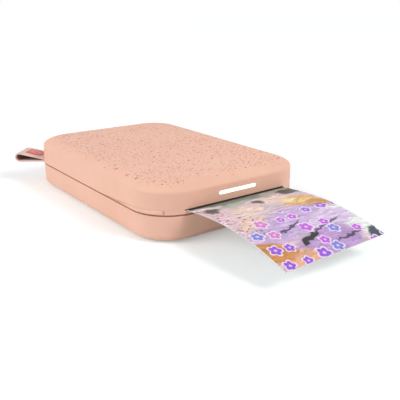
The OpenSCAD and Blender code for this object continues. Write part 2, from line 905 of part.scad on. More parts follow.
module strap_tab() {
    color([0.92, 0.80, 0.76]) at_tab() difference() {
        along(strap_w) difference() {
            union() {
                translate([-strap_in, strap_z - strap_t]) square([strap_in, 2 * strap_t]);
                translate(strap_loop) circle(strap_r);
                polygon([
                    strap_top_tip, tangent(strap_top_tip, strap_loop, strap_r, -1), strap_loop,
                    tangent(strap_low_tip, strap_loop, strap_r, 1), strap_low_tip
                ]);
            }
            translate(strap_loop) circle(strap_r - strap_t);
            polygon([
                strap_inner, tangent(strap_inner, strap_loop, strap_r - strap_t, -1), strap_loop,
                tangent(strap_inner, strap_loop, strap_r - strap_t, 1)
            ]);
        }
        translate([strap_screw_s, 0, 0]) cylinder(h = case_h, r = small_screw_r + touch);
    }
}

module strap_screw() {
    color([0.7, 0.7, 0.72]) at_tab() translate([strap_screw_s, 0, 0]) {
        translate([0, 0, strap_z + strap_t]) cylinder(h = strap_head_t, r = small_head_r);
        translate([0, 0, strap_z - strap_t - strap_screw_l])
            cylinder(h = strap_screw_l + 2 * strap_t, r = small_screw_r);
    }
}

// ---- Paper ----

module paper_stack() {
    color([0.96, 0.96, 0.95]) for (i = [0:sheets - 1])
        translate([-paper_w / 2, tray_front_y, tray_z + i * sheet_pitch])
            cube([paper_w, paper_l, sheet_t]);
}

module pressure_plate() {
    color([0.25, 0.25, 0.27]) {
        translate([-press_w / 2, press_y - press_l / 2, press_z]) cube([press_w, press_l, press_t]);
        pair() translate([press_x, press_y, press_z + press_t / 2])
            cylinder(h = post_h + press_t / 2, r = post_r);
    }
}

module pressure_springs() {
    color([0.78, 0.78, 0.8]) pair() translate([press_x, press_y, press_z + press_t + free_gap])
        coil(sleeve_r + 4 * free_gap, 3, ceiling_z - press_z - press_t - 2 * free_gap);
}

module print_sheet() {
    tail_y = exit_y + paper_l - print_arc();
    rows = concat([tail_y], [for (i = [0:print_steps]) exit_y - i * print_reach / print_steps]);
    cols = [for (k = [0:print_cols]) paper_w * (k / print_cols - 0.5)];
    n = print_cols + 1;
    m = len(rows);
    low = [for (y = rows, x = cols) [x, y, print_z(x, y)]];
    high = [for (p = low) p + [0, 0, print_t]];
    floor_faces = [for (i = [0:m - 2], k = [0:n - 2])
        for (f = [[0, 1, n], [1, n + 1, n]]) [for (c = f) i * n + k + c]];
    roof_faces = [for (f = floor_faces) [f.z, f.y, f.x] + n * m * [1, 1, 1]];
    rim = concat(
        [for (k = [0:n - 1]) k], [for (i = [1:m - 1]) i * n + n - 1],
        [for (k = [n - 2:-1:0]) (m - 1) * n + k], [for (i = [m - 2:-1:1]) i * n]
    );
    walls = [for (i = [0:len(rim) - 1])
        let(a = rim[i], b = rim[(i + 1) % len(rim)]) [b, a, a + n * m, b + n * m]];
    color([0.85, 0.75, 0.88]) polyhedron(concat(low, high), concat(floor_faces, roof_faces, walls));
}

module paper_sensor() {
    color([0.15, 0.15, 0.16])
        translate([sensor_at.x, sensor_at.y, deck_z - sensor_size.z]) cube(sensor_size);
}

// ---- Print engine ----

module engine_chassis() {
    color([0.72, 0.73, 0.75]) difference() {
        union() {
            translate([-plate_out_x, plate_front_y, floor_z])
                cube([2 * plate_out_x, plate_rear_y - plate_front_y, tray_t]);
            pair() from_x(plate_x, plate_t) {
                translate([plate_front_y, floor_z])
                    square([plate_rear_y - plate_front_y, plate_low_top - floor_z]);
                translate([tower_front_y, floor_z])
                    square([tower_rear_y - tower_front_y, bridge_z - floor_z]);
            }
        }
        for (p = [platen_at, pickup_at])
            rod(p, -plate_out_x - over, 2 * plate_out_x + 2 * over, bush_r);
        rod(pivot_at, -plate_out_x - over, 2 * plate_out_x + 2 * over, pivot_r);
        rod(motor_at, plate_x - over, plate_t + 2 * over, motor_shaft_d / 2 + lug_gap);
        for (p = [idler_at, wheel_at]) rod(p, plate_x - over, plate_t + 2 * over, axle_r);
        at_engine_screws() cylinder(h = case_h, r = small_screw_r + touch);
        translate([-plate_out_x - over, platen_at.x - ribbon_back - free_gap, bracket_z - ribbon_hole / 3])
            cube([plate_t + 2 * over, ribbon_w + 2 * free_gap, ribbon_hole]);
    }
}

module engine_bridge() {
    color([0.72, 0.73, 0.75])
        translate([-plate_out_x, platen_at.x - bridge_back, bridge_z])
            cube([2 * plate_out_x, bridge_l, bridge_t]);
}

module engine_screws() {
    color([0.7, 0.7, 0.72]) at_engine_screws() {
        translate([0, 0, floor_z + tray_t]) cylinder(h = small_head_t, r = small_head_r);
        translate([0, 0, floor_z - wall / 2]) cylinder(h = wall / 2 + tray_t, r = small_screw_r);
    }
}

// A rubber roller on its shaft
module roller(p, length, r) {
    from_x(-length / 2, length) translate(p) difference() {
        circle(r);
        circle(shaft_d / 2);
    }
}

module pickup_roller() {
    color([0.2, 0.2, 0.21]) roller(pickup_at, pickup_l, pickup_d / 2);
}

module pickup_shaft() {
    color([0.75, 0.75, 0.77])
        rod(pickup_at, -plate_out_x - shaft_end, plate_out_x + shaft_end + gear_x + gear_w, shaft_d / 2);
}

module platen_roller() {
    color([0.16, 0.16, 0.17]) roller(platen_at, roller_l, platen_d / 2);
}

module platen_shaft() {
    color([0.75, 0.75, 0.77])
        rod(platen_at, -plate_out_x - shaft_end, plate_out_x + shaft_end + gear_x + gear_w, shaft_d / 2);
}

module shaft_bushes() {
    color([0.93, 0.92, 0.88]) for (p = [platen_at, pickup_at]) pair() difference() {
        union() {
            rod(p, plate_x, plate_t, bush_r);
            rod(p, plate_out_x, bush_flange_t, bush_flange_r);
        }
        rod(p, plate_x - over, plate_t + 3 * over, shaft_d / 2 + touch);
    }
}

module print_head() {
    color([0.93, 0.93, 0.9])
        translate([-ceramic_w / 2, platen_at.x - ceramic_l / 2, path_z + head_gap])
            cube([ceramic_w, ceramic_l, ceramic_t]);
}

module heat_sink() {
    pitch = sink_l / fins;
    y = platen_at.x - sink_l / 2 - over;
    color([0.8, 0.81, 0.83]) difference() {
        translate([-head_w / 2, y, sink_z]) cube([head_w, sink_l, sink_h]);
        for (i = [0:fins - 2])
            translate([-head_w / 2 - over, y + pitch * (i + 3 / 4), sink_z + fin_floor])
                cube([head_w + 2 * over, pitch / 2, sink_h - fin_floor - fin_roof]);
    }
}

module head_bracket() {
    y = pivot_at.x - bracket_lug;
    color([0.74, 0.75, 0.77]) difference() {
        union() {
            translate([-head_w / 2, y, bracket_z]) cube([head_w, tower_rear_y - y, bracket_t]);
            pair() translate([head_w / 2 - bracket_t, y, pivot_at.y - bracket_lug])
                cube([bracket_t, 2 * bracket_lug, bracket_z - pivot_at.y + bracket_lug]);
        }
        rod(pivot_at, -plate_x, 2 * plate_x, pivot_r + touch);
    }
}

module head_pivot_pins() {
    x = head_w / 2 - bracket_t - bearing_depth;
    color([0.75, 0.75, 0.77]) pair() rod(pivot_at, x, plate_out_x - x, pivot_r);
}

module head_springs() {
    h = bridge_z - bracket_z - bracket_t;
    color([0.78, 0.78, 0.8]) pair()
        translate([head_spring_x, platen_at.x, bracket_z + bracket_t + touch])
            coil(head_spring_r, 2, h - 2 * touch);
}

// Flat cable from the head, along the left side, to the board
module head_ribbon() {
    w = ribbon_w;
    t = ribbon_t;
    z = deck_z - 0.8;
    side = plate_out_x + ribbon_side_gap + w;
    front = platen_at.x - ribbon_back;
    turn_y = board_front_y - 6;
    in_x = socket_at.x + (socket_size.x - w) / 2;
    in_y = socket_at.y + (socket_size.y - t) / 2;
    low = board_top_z + socket_size.z + touch;
    color([0.85, 0.6, 0.3]) {
        translate([-side, front, z]) cube([w, turn_y + w - front, t]);
        translate([-side, front, z]) cube([w, t, bracket_z - z + t]);
        translate([-side, front, bracket_z]) cube([side - head_w / 2 - ribbon_end, w, t]);
        translate([-side, turn_y, z]) cube([side + in_x + w, w, t]);
        translate([in_x, turn_y, z]) cube([w, in_y + t - turn_y, t]);
        translate([in_x, in_y, low]) cube([w, t, z + t - low]);
    }
}

module motor_can() {
    flat = motor_h / 2;
    color([0.7, 0.71, 0.73]) difference() {
        union() {
            intersection() {
                from_x(motor_x, motor_l) translate(motor_at) circle(motor_w / 2);
                from_x(motor_x, motor_l)
                    translate(motor_at - [motor_w / 2, flat]) square([motor_w, motor_h]);
            }
            rod(motor_at, motor_x + motor_l, motor_nose_l, motor_nose_r);
        }
        rod(motor_at, motor_x - over, motor_l + motor_nose_l + 2 * over, motor_shaft_d / 2 + touch);
    }
}

module motor_shaft() {
    color([0.75, 0.75, 0.77])
        rod(motor_at, motor_x + bearing_depth, wheel_x + gear_w - motor_x - bearing_depth,
            motor_shaft_d / 2);
}

module motor_pinion() {
    color([0.85, 0.7, 0.35])
        gear(motor_at, wheel_x, gear_w, pinion_teeth, pinion_phase, motor_shaft_d / 2);
}

// Two wires along the floor to the board
module motor_leads() {
    x = lead_side_gap + lead_r - plate_x;
    y = motor_at.x;
    for (i = [0, 1])
        color(i == 0 ? [0.8, 0.15, 0.12] : [0.12, 0.12, 0.13])
            translate([x, y, floor_z + tray_t + lead_r + touch + i * lead_pitch]) {
                rotate([0, 90, 0]) cylinder(h = motor_x - x, r = lead_r);
                rotate([-90, 0, 0]) cylinder(h = board_front_y + lead_in - y, r = lead_r);
                sphere(lead_r);
            }
}

module reduction_gear() {
    color([0.9, 0.89, 0.86]) {
        gear(wheel_at, gear_x, wheel_x - gear_x, step_teeth, step_phase, axle_r + touch);
        gear(wheel_at, wheel_x, gear_w, wheel_teeth, 0, axle_r + touch);
    }
}

// A fixed stud in the right-hand plate, with a head that keeps its gear on
module stud(p, x) {
    rod(p, plate_x, x - plate_x, axle_r);
    rod(p, x, axle_head_t, axle_head_r);
}

module reduction_axle() {
    color([0.75, 0.75, 0.77]) stud(wheel_at, wheel_x + gear_w + axle_play);
}

module idler_axle() {
    color([0.75, 0.75, 0.77]) stud(idler_at, gear_x + gear_w + axle_play);
}

module platen_gear() {
    color([0.9, 0.89, 0.86]) gear(platen_at, gear_x, gear_w, platen_teeth, 0, shaft_d / 2);
}

module idler_gear() {
    color([0.9, 0.89, 0.86]) gear(idler_at, gear_x, gear_w, idler_teeth, idler_phase, axle_r + touch);
}

module pickup_gear() {
    color([0.9, 0.89, 0.86]) gear(pickup_at, gear_x, gear_w, pickup_teeth, pickup_phase, shaft_d / 2);
}

// ---- Electronics ----

module main_board() {
    color([0.12, 0.35, 0.22]) difference() {
        translate([-board_w / 2, board_front_y, board_z]) cube([board_w, board_l, board_t]);
        at_board_screws() cylinder(h = case_h, r = small_screw_r + 2 * touch);
    }
}

module board_screws() {
    color([0.7, 0.7, 0.72]) at_board_screws() {
        translate([0, 0, board_top_z]) cylinder(h = small_head_t, r = small_head_r);
        translate([0, 0, floor_z + small_head_t])
            cylinder(h = board_top_z - floor_z - small_head_t, r = small_screw_r);
    }
}

module control_chip() {
    color([0.1, 0.1, 0.11])
        translate([chip_at.x, chip_at.y, board_top_z]) cube(chip_size);
}

module radio_module() {
    color([0.75, 0.75, 0.74])
        translate([radio_at.x, radio_at.y, board_top_z]) cube(radio_size);
}

// Small capacitors, a coil and the ribbon's socket
module board_parts() {
    color([0.75, 0.68, 0.55]) {
        for (i = [0:5])
            translate([row_at.x + row_pitch * i, row_at.y, board_top_z]) cube(row_size);
        translate([coil_at.x, coil_at.y, board_top_z]) cylinder(h = coil_h, r = coil_r);
    }
    color([0.9, 0.9, 0.88]) translate([socket_at.x, socket_at.y, board_top_z]) cube(socket_size);
}

module usb_connector() {
    y = rear_y - wall - usb_l;
    color([0.75, 0.75, 0.77]) translate([usb_x - usb_w / 2, y, port_z - usb_h / 2]) {
        difference() {
            cube([usb_w, usb_l, usb_h]);
            translate([usb_t, usb_t, usb_t]) cube([usb_w - 2 * usb_t, usb_l, usb_h - 2 * usb_t]);
        }
        translate([(usb_w - usb_tongue_w) / 2, usb_t / 2, usb_h / 2 - usb_t])
            cube([usb_tongue_w, usb_l - 5 * usb_t, 2 * usb_t]);
    }
}

module battery() {
    r = battery_r;
    color([0.55, 0.57, 0.6])
    translate([0, battery_rear_y - battery_l / 2, battery_z]) linear_extrude(battery_h) {
        square([battery_w - 2 * r, battery_l], center = true);
        square([battery_w, battery_l - 2 * r], center = true);
        for (x = [-1, 1], y = [-1, 1])
            translate([x * (battery_w / 2 - r), y * (battery_l / 2 - r)]) circle(r);
    }
}

module battery_pad() {
    color([0.2, 0.2, 0.2]) translate([pad_in - battery_w / 2, battery_rear_y - battery_l + pad_in, floor_z])
        cube([battery_w - 2 * pad_in, battery_l - 2 * pad_in, pad_t]);
}

module battery_leads() {
    for (i = [0, 1])
        color(i == 0 ? [0.8, 0.15, 0.12] : [0.12, 0.12, 0.13])
            translate([battery_lead_x + plug_pitch * i, battery_rear_y, board_top_z + plug_size.z / 2])
                rotate([-90, 0, 0]) cylinder(h = plug_y - battery_rear_y, r = lead_r);
}

module battery_plug() {
    color([0.92, 0.9, 0.84])
        translate([battery_lead_x + (plug_pitch - plug_size.x) / 2, plug_y, board_top_z])
            cube(plug_size);
}

module power_switch() {
    color([0.2, 0.2, 0.21]) translate([power_x, 0, 0]) {
        translate([-button_d / 2, power_switch_y - switch_l, board_top_z])
            cube([button_d, switch_l, rim_low_z - switch_gap - board_top_z]);
        translate([0, power_switch_y, rear_z]) rotate([-90, 0, 0])
            cylinder(h = button_travel, r = button_d / 6);
    }
}

module power_button() {
    color([0.93, 0.77, 0.70]) translate([power_x, flange_y, rear_z]) rotate([-90, 0, 0]) {
        cylinder(h = flange_t, r = button_d / 2 + button_rim);
        cylinder(h = rear_y + button_proud - flange_y, r = button_d / 2);
    }
}

module reset_switch() {
    color([0.2, 0.2, 0.21])
        translate([reset_x - reset_switch_w / 2, reset_switch_y - switch_l, board_top_z])
            cube([reset_switch_w, switch_l, reset_switch_w / 2]);
}

module reset_button() {
    color([0.9, 0.9, 0.9]) translate([reset_x, flange_y, rear_z]) rotate([-90, 0, 0]) {
        cylinder(h = flange_t, r = reset_r + flange_t);
        cylinder(h = rear_y - reset_sunk - flange_y, r = reset_r);
    }
}

module charge_light() {
    color([1, 1, 1]) translate([charge_x, rear_y - wall - flange_t, rear_z]) rotate([-90, 0, 0])
        cylinder(h = wall + flange_t, r = charge_r);
}

module led_board() {
    color([0.95, 0.95, 0.93])
        translate([-light_l / 2 - 1, led_y, bridge_bar_top]) cube([light_l + 2, led_board_t, led_board_h]);
}

module led_chips() {
    n = 4;
    color([1, 0.98, 0.85]) for (i = [0:n - 1])
        translate([light_l * ((i + 0.5) / n - 0.5) - led_size.x / 2, led_y - led_t, light_z - led_size.y / 2])
            cube([led_size.x, led_t, led_size.y]);
}

base_shell();
rubber_feet();
case_screws();
mid_frame();
slot_bezel();
top_cover();
led_window();
cover_hinge_pins();
strap_tab();
strap_screw();
paper_stack();
pressure_plate();
pressure_springs();
print_sheet();
paper_sensor();
engine_chassis();
engine_bridge();
engine_screws();
pickup_roller();
pickup_shaft();
platen_roller();
platen_shaft();
shaft_bushes();
print_head();
heat_sink();
head_bracket();
head_pivot_pins();
head_springs();
head_ribbon();
motor_can();
motor_shaft();
motor_pinion();
motor_leads();
reduction_gear();
reduction_axle();
platen_gear();
idler_gear();
idler_axle();
pickup_gear();
main_board();
board_screws();
control_chip();
radio_module();
board_parts();
usb_connector();
battery();
battery_pad();
battery_leads();
battery_plug();
power_switch();
power_button();
reset_switch();
reset_button();
charge_light();
led_board();
led_chips();
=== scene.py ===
# Compact photo printer: the looks of its case, tab, print and insides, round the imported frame.
import json
import math
import bpy
from mathutils import Matrix, Vector


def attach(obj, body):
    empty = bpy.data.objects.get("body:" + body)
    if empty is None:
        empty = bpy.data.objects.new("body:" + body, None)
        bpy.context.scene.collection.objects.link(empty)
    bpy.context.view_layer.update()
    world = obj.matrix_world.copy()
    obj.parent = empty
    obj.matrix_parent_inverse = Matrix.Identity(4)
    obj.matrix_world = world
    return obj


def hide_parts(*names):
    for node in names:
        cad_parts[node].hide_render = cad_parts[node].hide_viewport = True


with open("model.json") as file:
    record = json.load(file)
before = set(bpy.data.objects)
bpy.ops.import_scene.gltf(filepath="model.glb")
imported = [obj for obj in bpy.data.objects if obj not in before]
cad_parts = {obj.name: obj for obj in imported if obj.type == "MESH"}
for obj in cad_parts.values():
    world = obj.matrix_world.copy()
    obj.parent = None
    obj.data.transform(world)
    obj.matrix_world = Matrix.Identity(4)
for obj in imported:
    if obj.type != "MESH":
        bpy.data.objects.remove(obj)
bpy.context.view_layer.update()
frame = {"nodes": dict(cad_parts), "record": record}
nodes = frame["nodes"]
mm = 0.001
print("frame loaded:", len(nodes), "nodes")


def linearColour(hexText):
    # sRGB hex to the linear values that a shader wants
    values = [int(hexText[i:i + 2], 16) / 255 for i in (0, 2, 4)]
    return [v / 12.92 if v <= 0.04045 else ((v + 0.055) / 1.055) ** 2.4 for v in values] + [1.0]


def deselectAll():
    if bpy.context.object and bpy.context.object.mode != "OBJECT":
        bpy.ops.object.mode_set(mode="OBJECT")
    bpy.ops.object.select_all(action="DESELECT")


def makeActive(piece):
    deselectAll()
    piece.select_set(True)
    bpy.context.view_layer.objects.active = piece


def firstOutput(node):
    return next(output for output in node.outputs if output.enabled)


def addNode(tree, kind, links=(), **settings):
    # a shader node and its settings; links gives its live inputs in order, or some of them by name,
    # and each is a plain value, a socket, or a node whose first live output is meant
    node = tree.nodes.new("ShaderNode" + kind)
    for name, value in settings.items():
        setattr(node, name, value)
    if isinstance(links, dict):
        pairs = [(node.inputs[name], value) for name, value in links.items()]
    else:
        pairs = list(zip([socket for socket in node.inputs if socket.enabled], links))
    for socket, value in pairs:
        if isinstance(value, bpy.types.Node):
            value = firstOutput(value)
        if isinstance(value, bpy.types.NodeSocket):
            tree.links.new(value, socket)
        else:
            socket.default_value = value
    return node


def newMaterial(name, **fixed):
    # an empty material with its shader; fixed values go on the shader's own sockets
    material = bpy.data.materials.new(name)
    material.use_nodes = True
    tree = material.node_tree
    shader = tree.nodes["Principled BSDF"]
    for socket, value in fixed.items():
        shader.inputs[socket.replace("_", " ")].default_value = value
    return material, tree, shader


def feed(tree, target, **sources):
    # each source node drives the target node's socket of that name
    for socket, source in sources.items():
        tree.links.new(firstOutput(source), target.inputs[socket.replace("_", " ")])


def applyModifiers(piece):
    makeActive(piece)
    for modifier in list(piece.modifiers):
        bpy.ops.object.modifier_apply(modifier=modifier.name)


def addBevel(piece, width, sharp):
    # rounds the edges that turn by more than sharp degrees
    bevel = piece.modifiers.new("softEdge", "BEVEL")
    bevel.width = width * mm
    bevel.segments = 2
    bevel.limit_method = "ANGLE"
    bevel.angle_limit = math.radians(sharp)
    return bevel


# in m and degrees: points this near are merged, faces this flat are joined, edges are shaded smooth up to
# one angle and rounded past the other
cleaning = {"merge": 1e-6, "flat": 0.4, "smooth": 30, "sharp": 40}


def cleanCopy(nodeName, pieceName, edge):
    # a merged copy of a moulded node, its flat faces whole, with edges of that radius and smooth shading
    piece = bpy.data.objects.new(pieceName, nodes[nodeName].data.copy())
    bpy.context.scene.collection.objects.link(piece)
    makeActive(piece)
    bpy.ops.object.mode_set(mode="EDIT")
    bpy.ops.mesh.select_all(action="SELECT")
    bpy.ops.mesh.remove_doubles(threshold=cleaning["merge"])
    bpy.ops.mesh.dissolve_limited(angle_limit=math.radians(cleaning["flat"]))
    bpy.ops.object.mode_set(mode="OBJECT")
    bpy.ops.object.shade_smooth_by_angle(angle=math.radians(cleaning["smooth"]))
    if edge:
        bevel = addBevel(piece, edge, cleaning["sharp"])
        bevel.harden_normals = True
        bevel.use_clamp_overlap = True
    weighted = piece.modifiers.new("evenShade", "WEIGHTED_NORMAL")
    weighted.keep_sharp = True
    applyModifiers(piece)
    return piece


def settle(piece, material, body, slot, *replaced):
    # the piece's finish, what it moves with, and the nodes that it stands for
    piece.data.materials.clear()
    piece.data.materials.append(material)
    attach(piece, body)
    if replaced:
        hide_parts(*replaced)


# place in mm, angles in degrees, lens and sensor in mm, clip in m
view = {
    "place": (-149.97, -234.28, 90.74), "turn": -37.295, "tilt": 16.767, "roll": 0.354,
    "lens": 53.08, "sensor": 36, "shift": (-0.0150, -0.0515), "clip": (0.01, 20),
}


def makeCamera():
    turn, tilt, roll = (math.radians(view[k]) for k in ("turn", "tilt", "roll"))
    ahead = Vector((-math.sin(turn) * math.cos(tilt), math.cos(turn) * math.cos(tilt), -math.sin(tilt)))
    right = ahead.cross(Vector((0, 0, 1))).normalized()
    up = right.cross(ahead)
    rolledRight = right * math.cos(roll) + up * math.sin(roll)
    rolledUp = up * math.cos(roll) - right * math.sin(roll)
    data = bpy.data.cameras.new("camera")
    camera = bpy.data.objects.new("camera", data)
    bpy.context.scene.collection.objects.link(camera)
    camera.rotation_mode = "QUATERNION"
    turnMatrix = Matrix([[rolledRight[i], rolledUp[i], -ahead[i]] for i in range(3)])
    camera.rotation_quaternion = turnMatrix.to_quaternion()
    camera.location = Vector(view["place"]) * mm
    data.sensor_width = view["sensor"]
    data.lens = view["lens"]
    data.shift_x, data.shift_y = view["shift"]
    data.clip_start, data.clip_end = view["clip"]
    bpy.context.scene.camera = camera


makeCamera()

# strengths of the world and of the floor's own glow, whose near and far distances are in m, as the floor's
# size is; the floor lies its drop in mm below the feet
studio = {
    "world": 0.44, "floor": "f1f5f6", "floorSize": 6, "floorDrop": 0.05,
    "nearGlow": 0.28, "farGlow": 0.6, "glowFrom": 0.12, "glowTo": 0.4,
}
# place and size in m, power in W
lamps = {
    "leftSoftbox": {"place": (-0.95, 0.35, 0.52), "size": 0.8, "power": 5.9},
    "frontSoftbox": {"place": (0.2, -0.49, 0.5), "size": 0.3, "power": 2.15},
}


def areaLight(name, place, size, power):
    # a round softbox that faces the origin
    data = bpy.data.lights.new(name, "AREA")
    data.shape = "DISK"
    data.size = size
    data.energy = power
    lamp = bpy.data.objects.new(name, data)
    bpy.context.scene.collection.objects.link(lamp)
    lamp.location = place
    lamp.rotation_mode = "QUATERNION"
    lamp.rotation_quaternion = (-Vector(place)).to_track_quat("-Z", "Y")


def seenDirectly(tree):
    # 1 for the camera and for what gloss and glass show, 0 for light that falls on things
    path = addNode(tree, "LightPath")
    glossy = addNode(tree, "Math", (path.outputs["Is Camera Ray"], path.outputs["Is Glossy Ray"]),
                     operation="MAXIMUM")
    return addNode(tree, "Math", (glossy, path.outputs["Is Transmission Ray"]), operation="MAXIMUM")


def makeWorld():
    # white where it is seen, and a soft even light on things
    world = bpy.data.worlds.new("studio")
    bpy.context.scene.world = world
    world.use_nodes = True
    tree = world.node_tree
    background = tree.nodes["Background"]
    background.inputs["Color"].default_value = (1, 1, 1, 1)
    feed(tree, background, Strength=addNode(tree, "MapRange", {
        "Value": seenDirectly(tree), "To Min": studio["world"], "To Max": 1.0}))


def makeFloor():
    # a pale painted floor that glows a little for the camera alone, and more with distance
    bpy.ops.mesh.primitive_plane_add(size=studio["floorSize"], location=(0, 0, -studio["floorDrop"] * mm))
    floor = bpy.context.object
    floor.name = "floor"
    material = bpy.data.materials.new("paintedFloor")
    material.use_nodes = True
    tree = material.node_tree
    tree.nodes.remove(tree.nodes["Principled BSDF"])
    diffuse = addNode(tree, "BsdfDiffuse", {"Color": linearColour(studio["floor"])})
    place = addNode(tree, "TexCoord")
    reach = addNode(tree, "VectorMath", (place.outputs["Object"],), operation="LENGTH")
    lift = addNode(tree, "MapRange", (
        reach, studio["glowFrom"], studio["glowTo"], studio["nearGlow"], studio["farGlow"]))
    glow = addNode(tree, "Emission", {
        "Strength": addNode(tree, "Math", (seenDirectly(tree), lift), operation="MULTIPLY")})
    both = addNode(tree, "AddShader", (diffuse, glow))
    feed(tree, tree.nodes["Material Output"], Surface=both)
    floor.data.materials.append(material)


deselectAll()
makeWorld()
for name, lamp in lamps.items():
    areaLight(name, **lamp)
makeFloor()
bpy.context.scene.view_settings.view_transform = "Standard"
print("studio ready")


def objectCoords(tree):
    # object coordinates in millimetres
    place = addNode(tree, "TexCoord")
    return addNode(tree, "Mapping", {"Vector": place.outputs["Object"], "Scale": (1000,) * 3})


# cloudy patches are about 1 / clouds mm across; shine is how far roughness strays below and above its value
moulding = {"clouds": 0.06, "cloudEnds": (0.35, 0.65), "noiseEnds": (0.3, 0.7), "shine": (0.05, 0.06),
            "bump": 0.25}


def mouldedPlastic(name, colour, deep, roughness, grain=0.35, depth=0.02, **fixed):
    # injection moulded plastic: fine spark-eroded grain of that size and depth in mm, and faint cloudiness
    material, tree, shader = newMaterial(name, IOR=1.5, **fixed)
    coords = objectCoords(tree)
    cloud = addNode(tree, "TexNoise", {"Vector": coords, "Scale": moulding["clouds"], "Detail": 3.0})
    tone = addNode(tree, "MapRange", (cloud, *moulding["cloudEnds"]))
    base = addNode(tree, "Mix", (tone, linearColour(deep), linearColour(colour)), data_type="RGBA")
    fine = addNode(tree, "TexNoise", {"Vector": coords, "Scale": 1 / grain, "Detail": 2.0})
    below, above = moulding["shine"]
    rough = addNode(tree, "MapRange", (fine, *moulding["noiseEnds"], roughness - below, roughness + above))
    bump = addNode(tree, "Bump", {"Height": fine, "Strength": moulding["bump"], "Distance": depth * mm})
    feed(tree, shader, Base_Color=base, Roughness=rough, Normal=bump)
    return material


# the lines are about 0.1 mm apart and 4 mm long, coarser than real ones so that they show
drawing = {"lines": (10, 0.25, 10), "noiseEnds": (0.3, 0.7), "shine": (0.06, 0.08), "bump": 0.2,
           "depth": 0.01}


def finishedMetal(name, colour, deep, roughness, metallic=1.0):
    # rolled, turned or plated metal: fine lines that run one way and slightly uneven shine
    material, tree, shader = newMaterial(name, Metallic=metallic)
    drawn = addNode(tree, "Mapping", {"Vector": objectCoords(tree), "Scale": drawing["lines"]})
    lines = addNode(tree, "TexNoise", {"Vector": drawn, "Scale": 1.0, "Detail": 3.0})
    base = addNode(tree, "Mix", (lines, linearColour(deep), linearColour(colour)), data_type="RGBA")
    below, above = drawing["shine"]
    rough = addNode(tree, "MapRange", (lines, *drawing["noiseEnds"], roughness - below, roughness + above))
    bump = addNode(tree, "Bump", {
        "Height": lines, "Strength": drawing["bump"], "Distance": drawing["depth"] * mm})
    feed(tree, shader, Base_Color=base, Roughness=rough, Normal=bump)
    return material


caseCorner = (23.0, 42.0)  # in mm, the centre of a rounded corner of the case
caseFinish = {"lit": "f5c3ac", "deep": "f3bfa7", "roughness": 0.52, "gloss": 0.35}
# in mm and degrees: the speckle is full up to one distance past the corners' centres, gone at the other, and
# only above a height; its crowding drifts over about 9 mm, and a patch behind the light bar is redder. Each
# kind of mark is shifted and turned from the last; smallest and solid are shares of a mark's radius.
speckle = {
    "full": 10.5, "none": 15.0, "above": 20.45,
    "drift": 0.11, "driftEnds": (0.36, 0.60), "crowding": (0.35, 1.35),
    "redAt": (-4.0, -43.0, 0.0), "redReach": 12.0, "red": "c96a58",
    "shift": (7.3, 3.1), "turn": 23, "smallest": 0.45, "solid": 0.6,
}
# each kind of mark: the cell that may hold one and its radius in mm, how long it is over its width, the
# share of cells that have one where the speckle is full, its colour and how strongly it covers
marks = [
    {"cell": 1.05, "radius": 0.24, "stretch": 1.0, "share": 0.42, "hex": "cf7f68", "cover": 0.75},
    {"cell": 1.30, "radius": 0.26, "stretch": 3.2, "share": 0.42, "hex": "c9634e", "cover": 0.85},
    {"cell": 1.75, "radius": 0.42, "stretch": 1.2, "share": 0.52, "hex": "b9513f", "cover": 0.95},
    {"cell": 3.20, "radius": 0.58, "stretch": 1.3, "share": 0.46, "hex": "a34536", "cover": 0.95},
    {"cell": 2.60, "radius": 0.45, "stretch": 1.6, "share": 0.30, "hex": "fde3d6", "cover": 0.60},
]


def casePlastic(name):
    # the case's own plastic: satin, with soft wide highlights
    return mouldedPlastic(name, caseFinish["lit"], caseFinish["deep"], caseFinish["roughness"],
                          Specular_IOR_Level=caseFinish["gloss"])


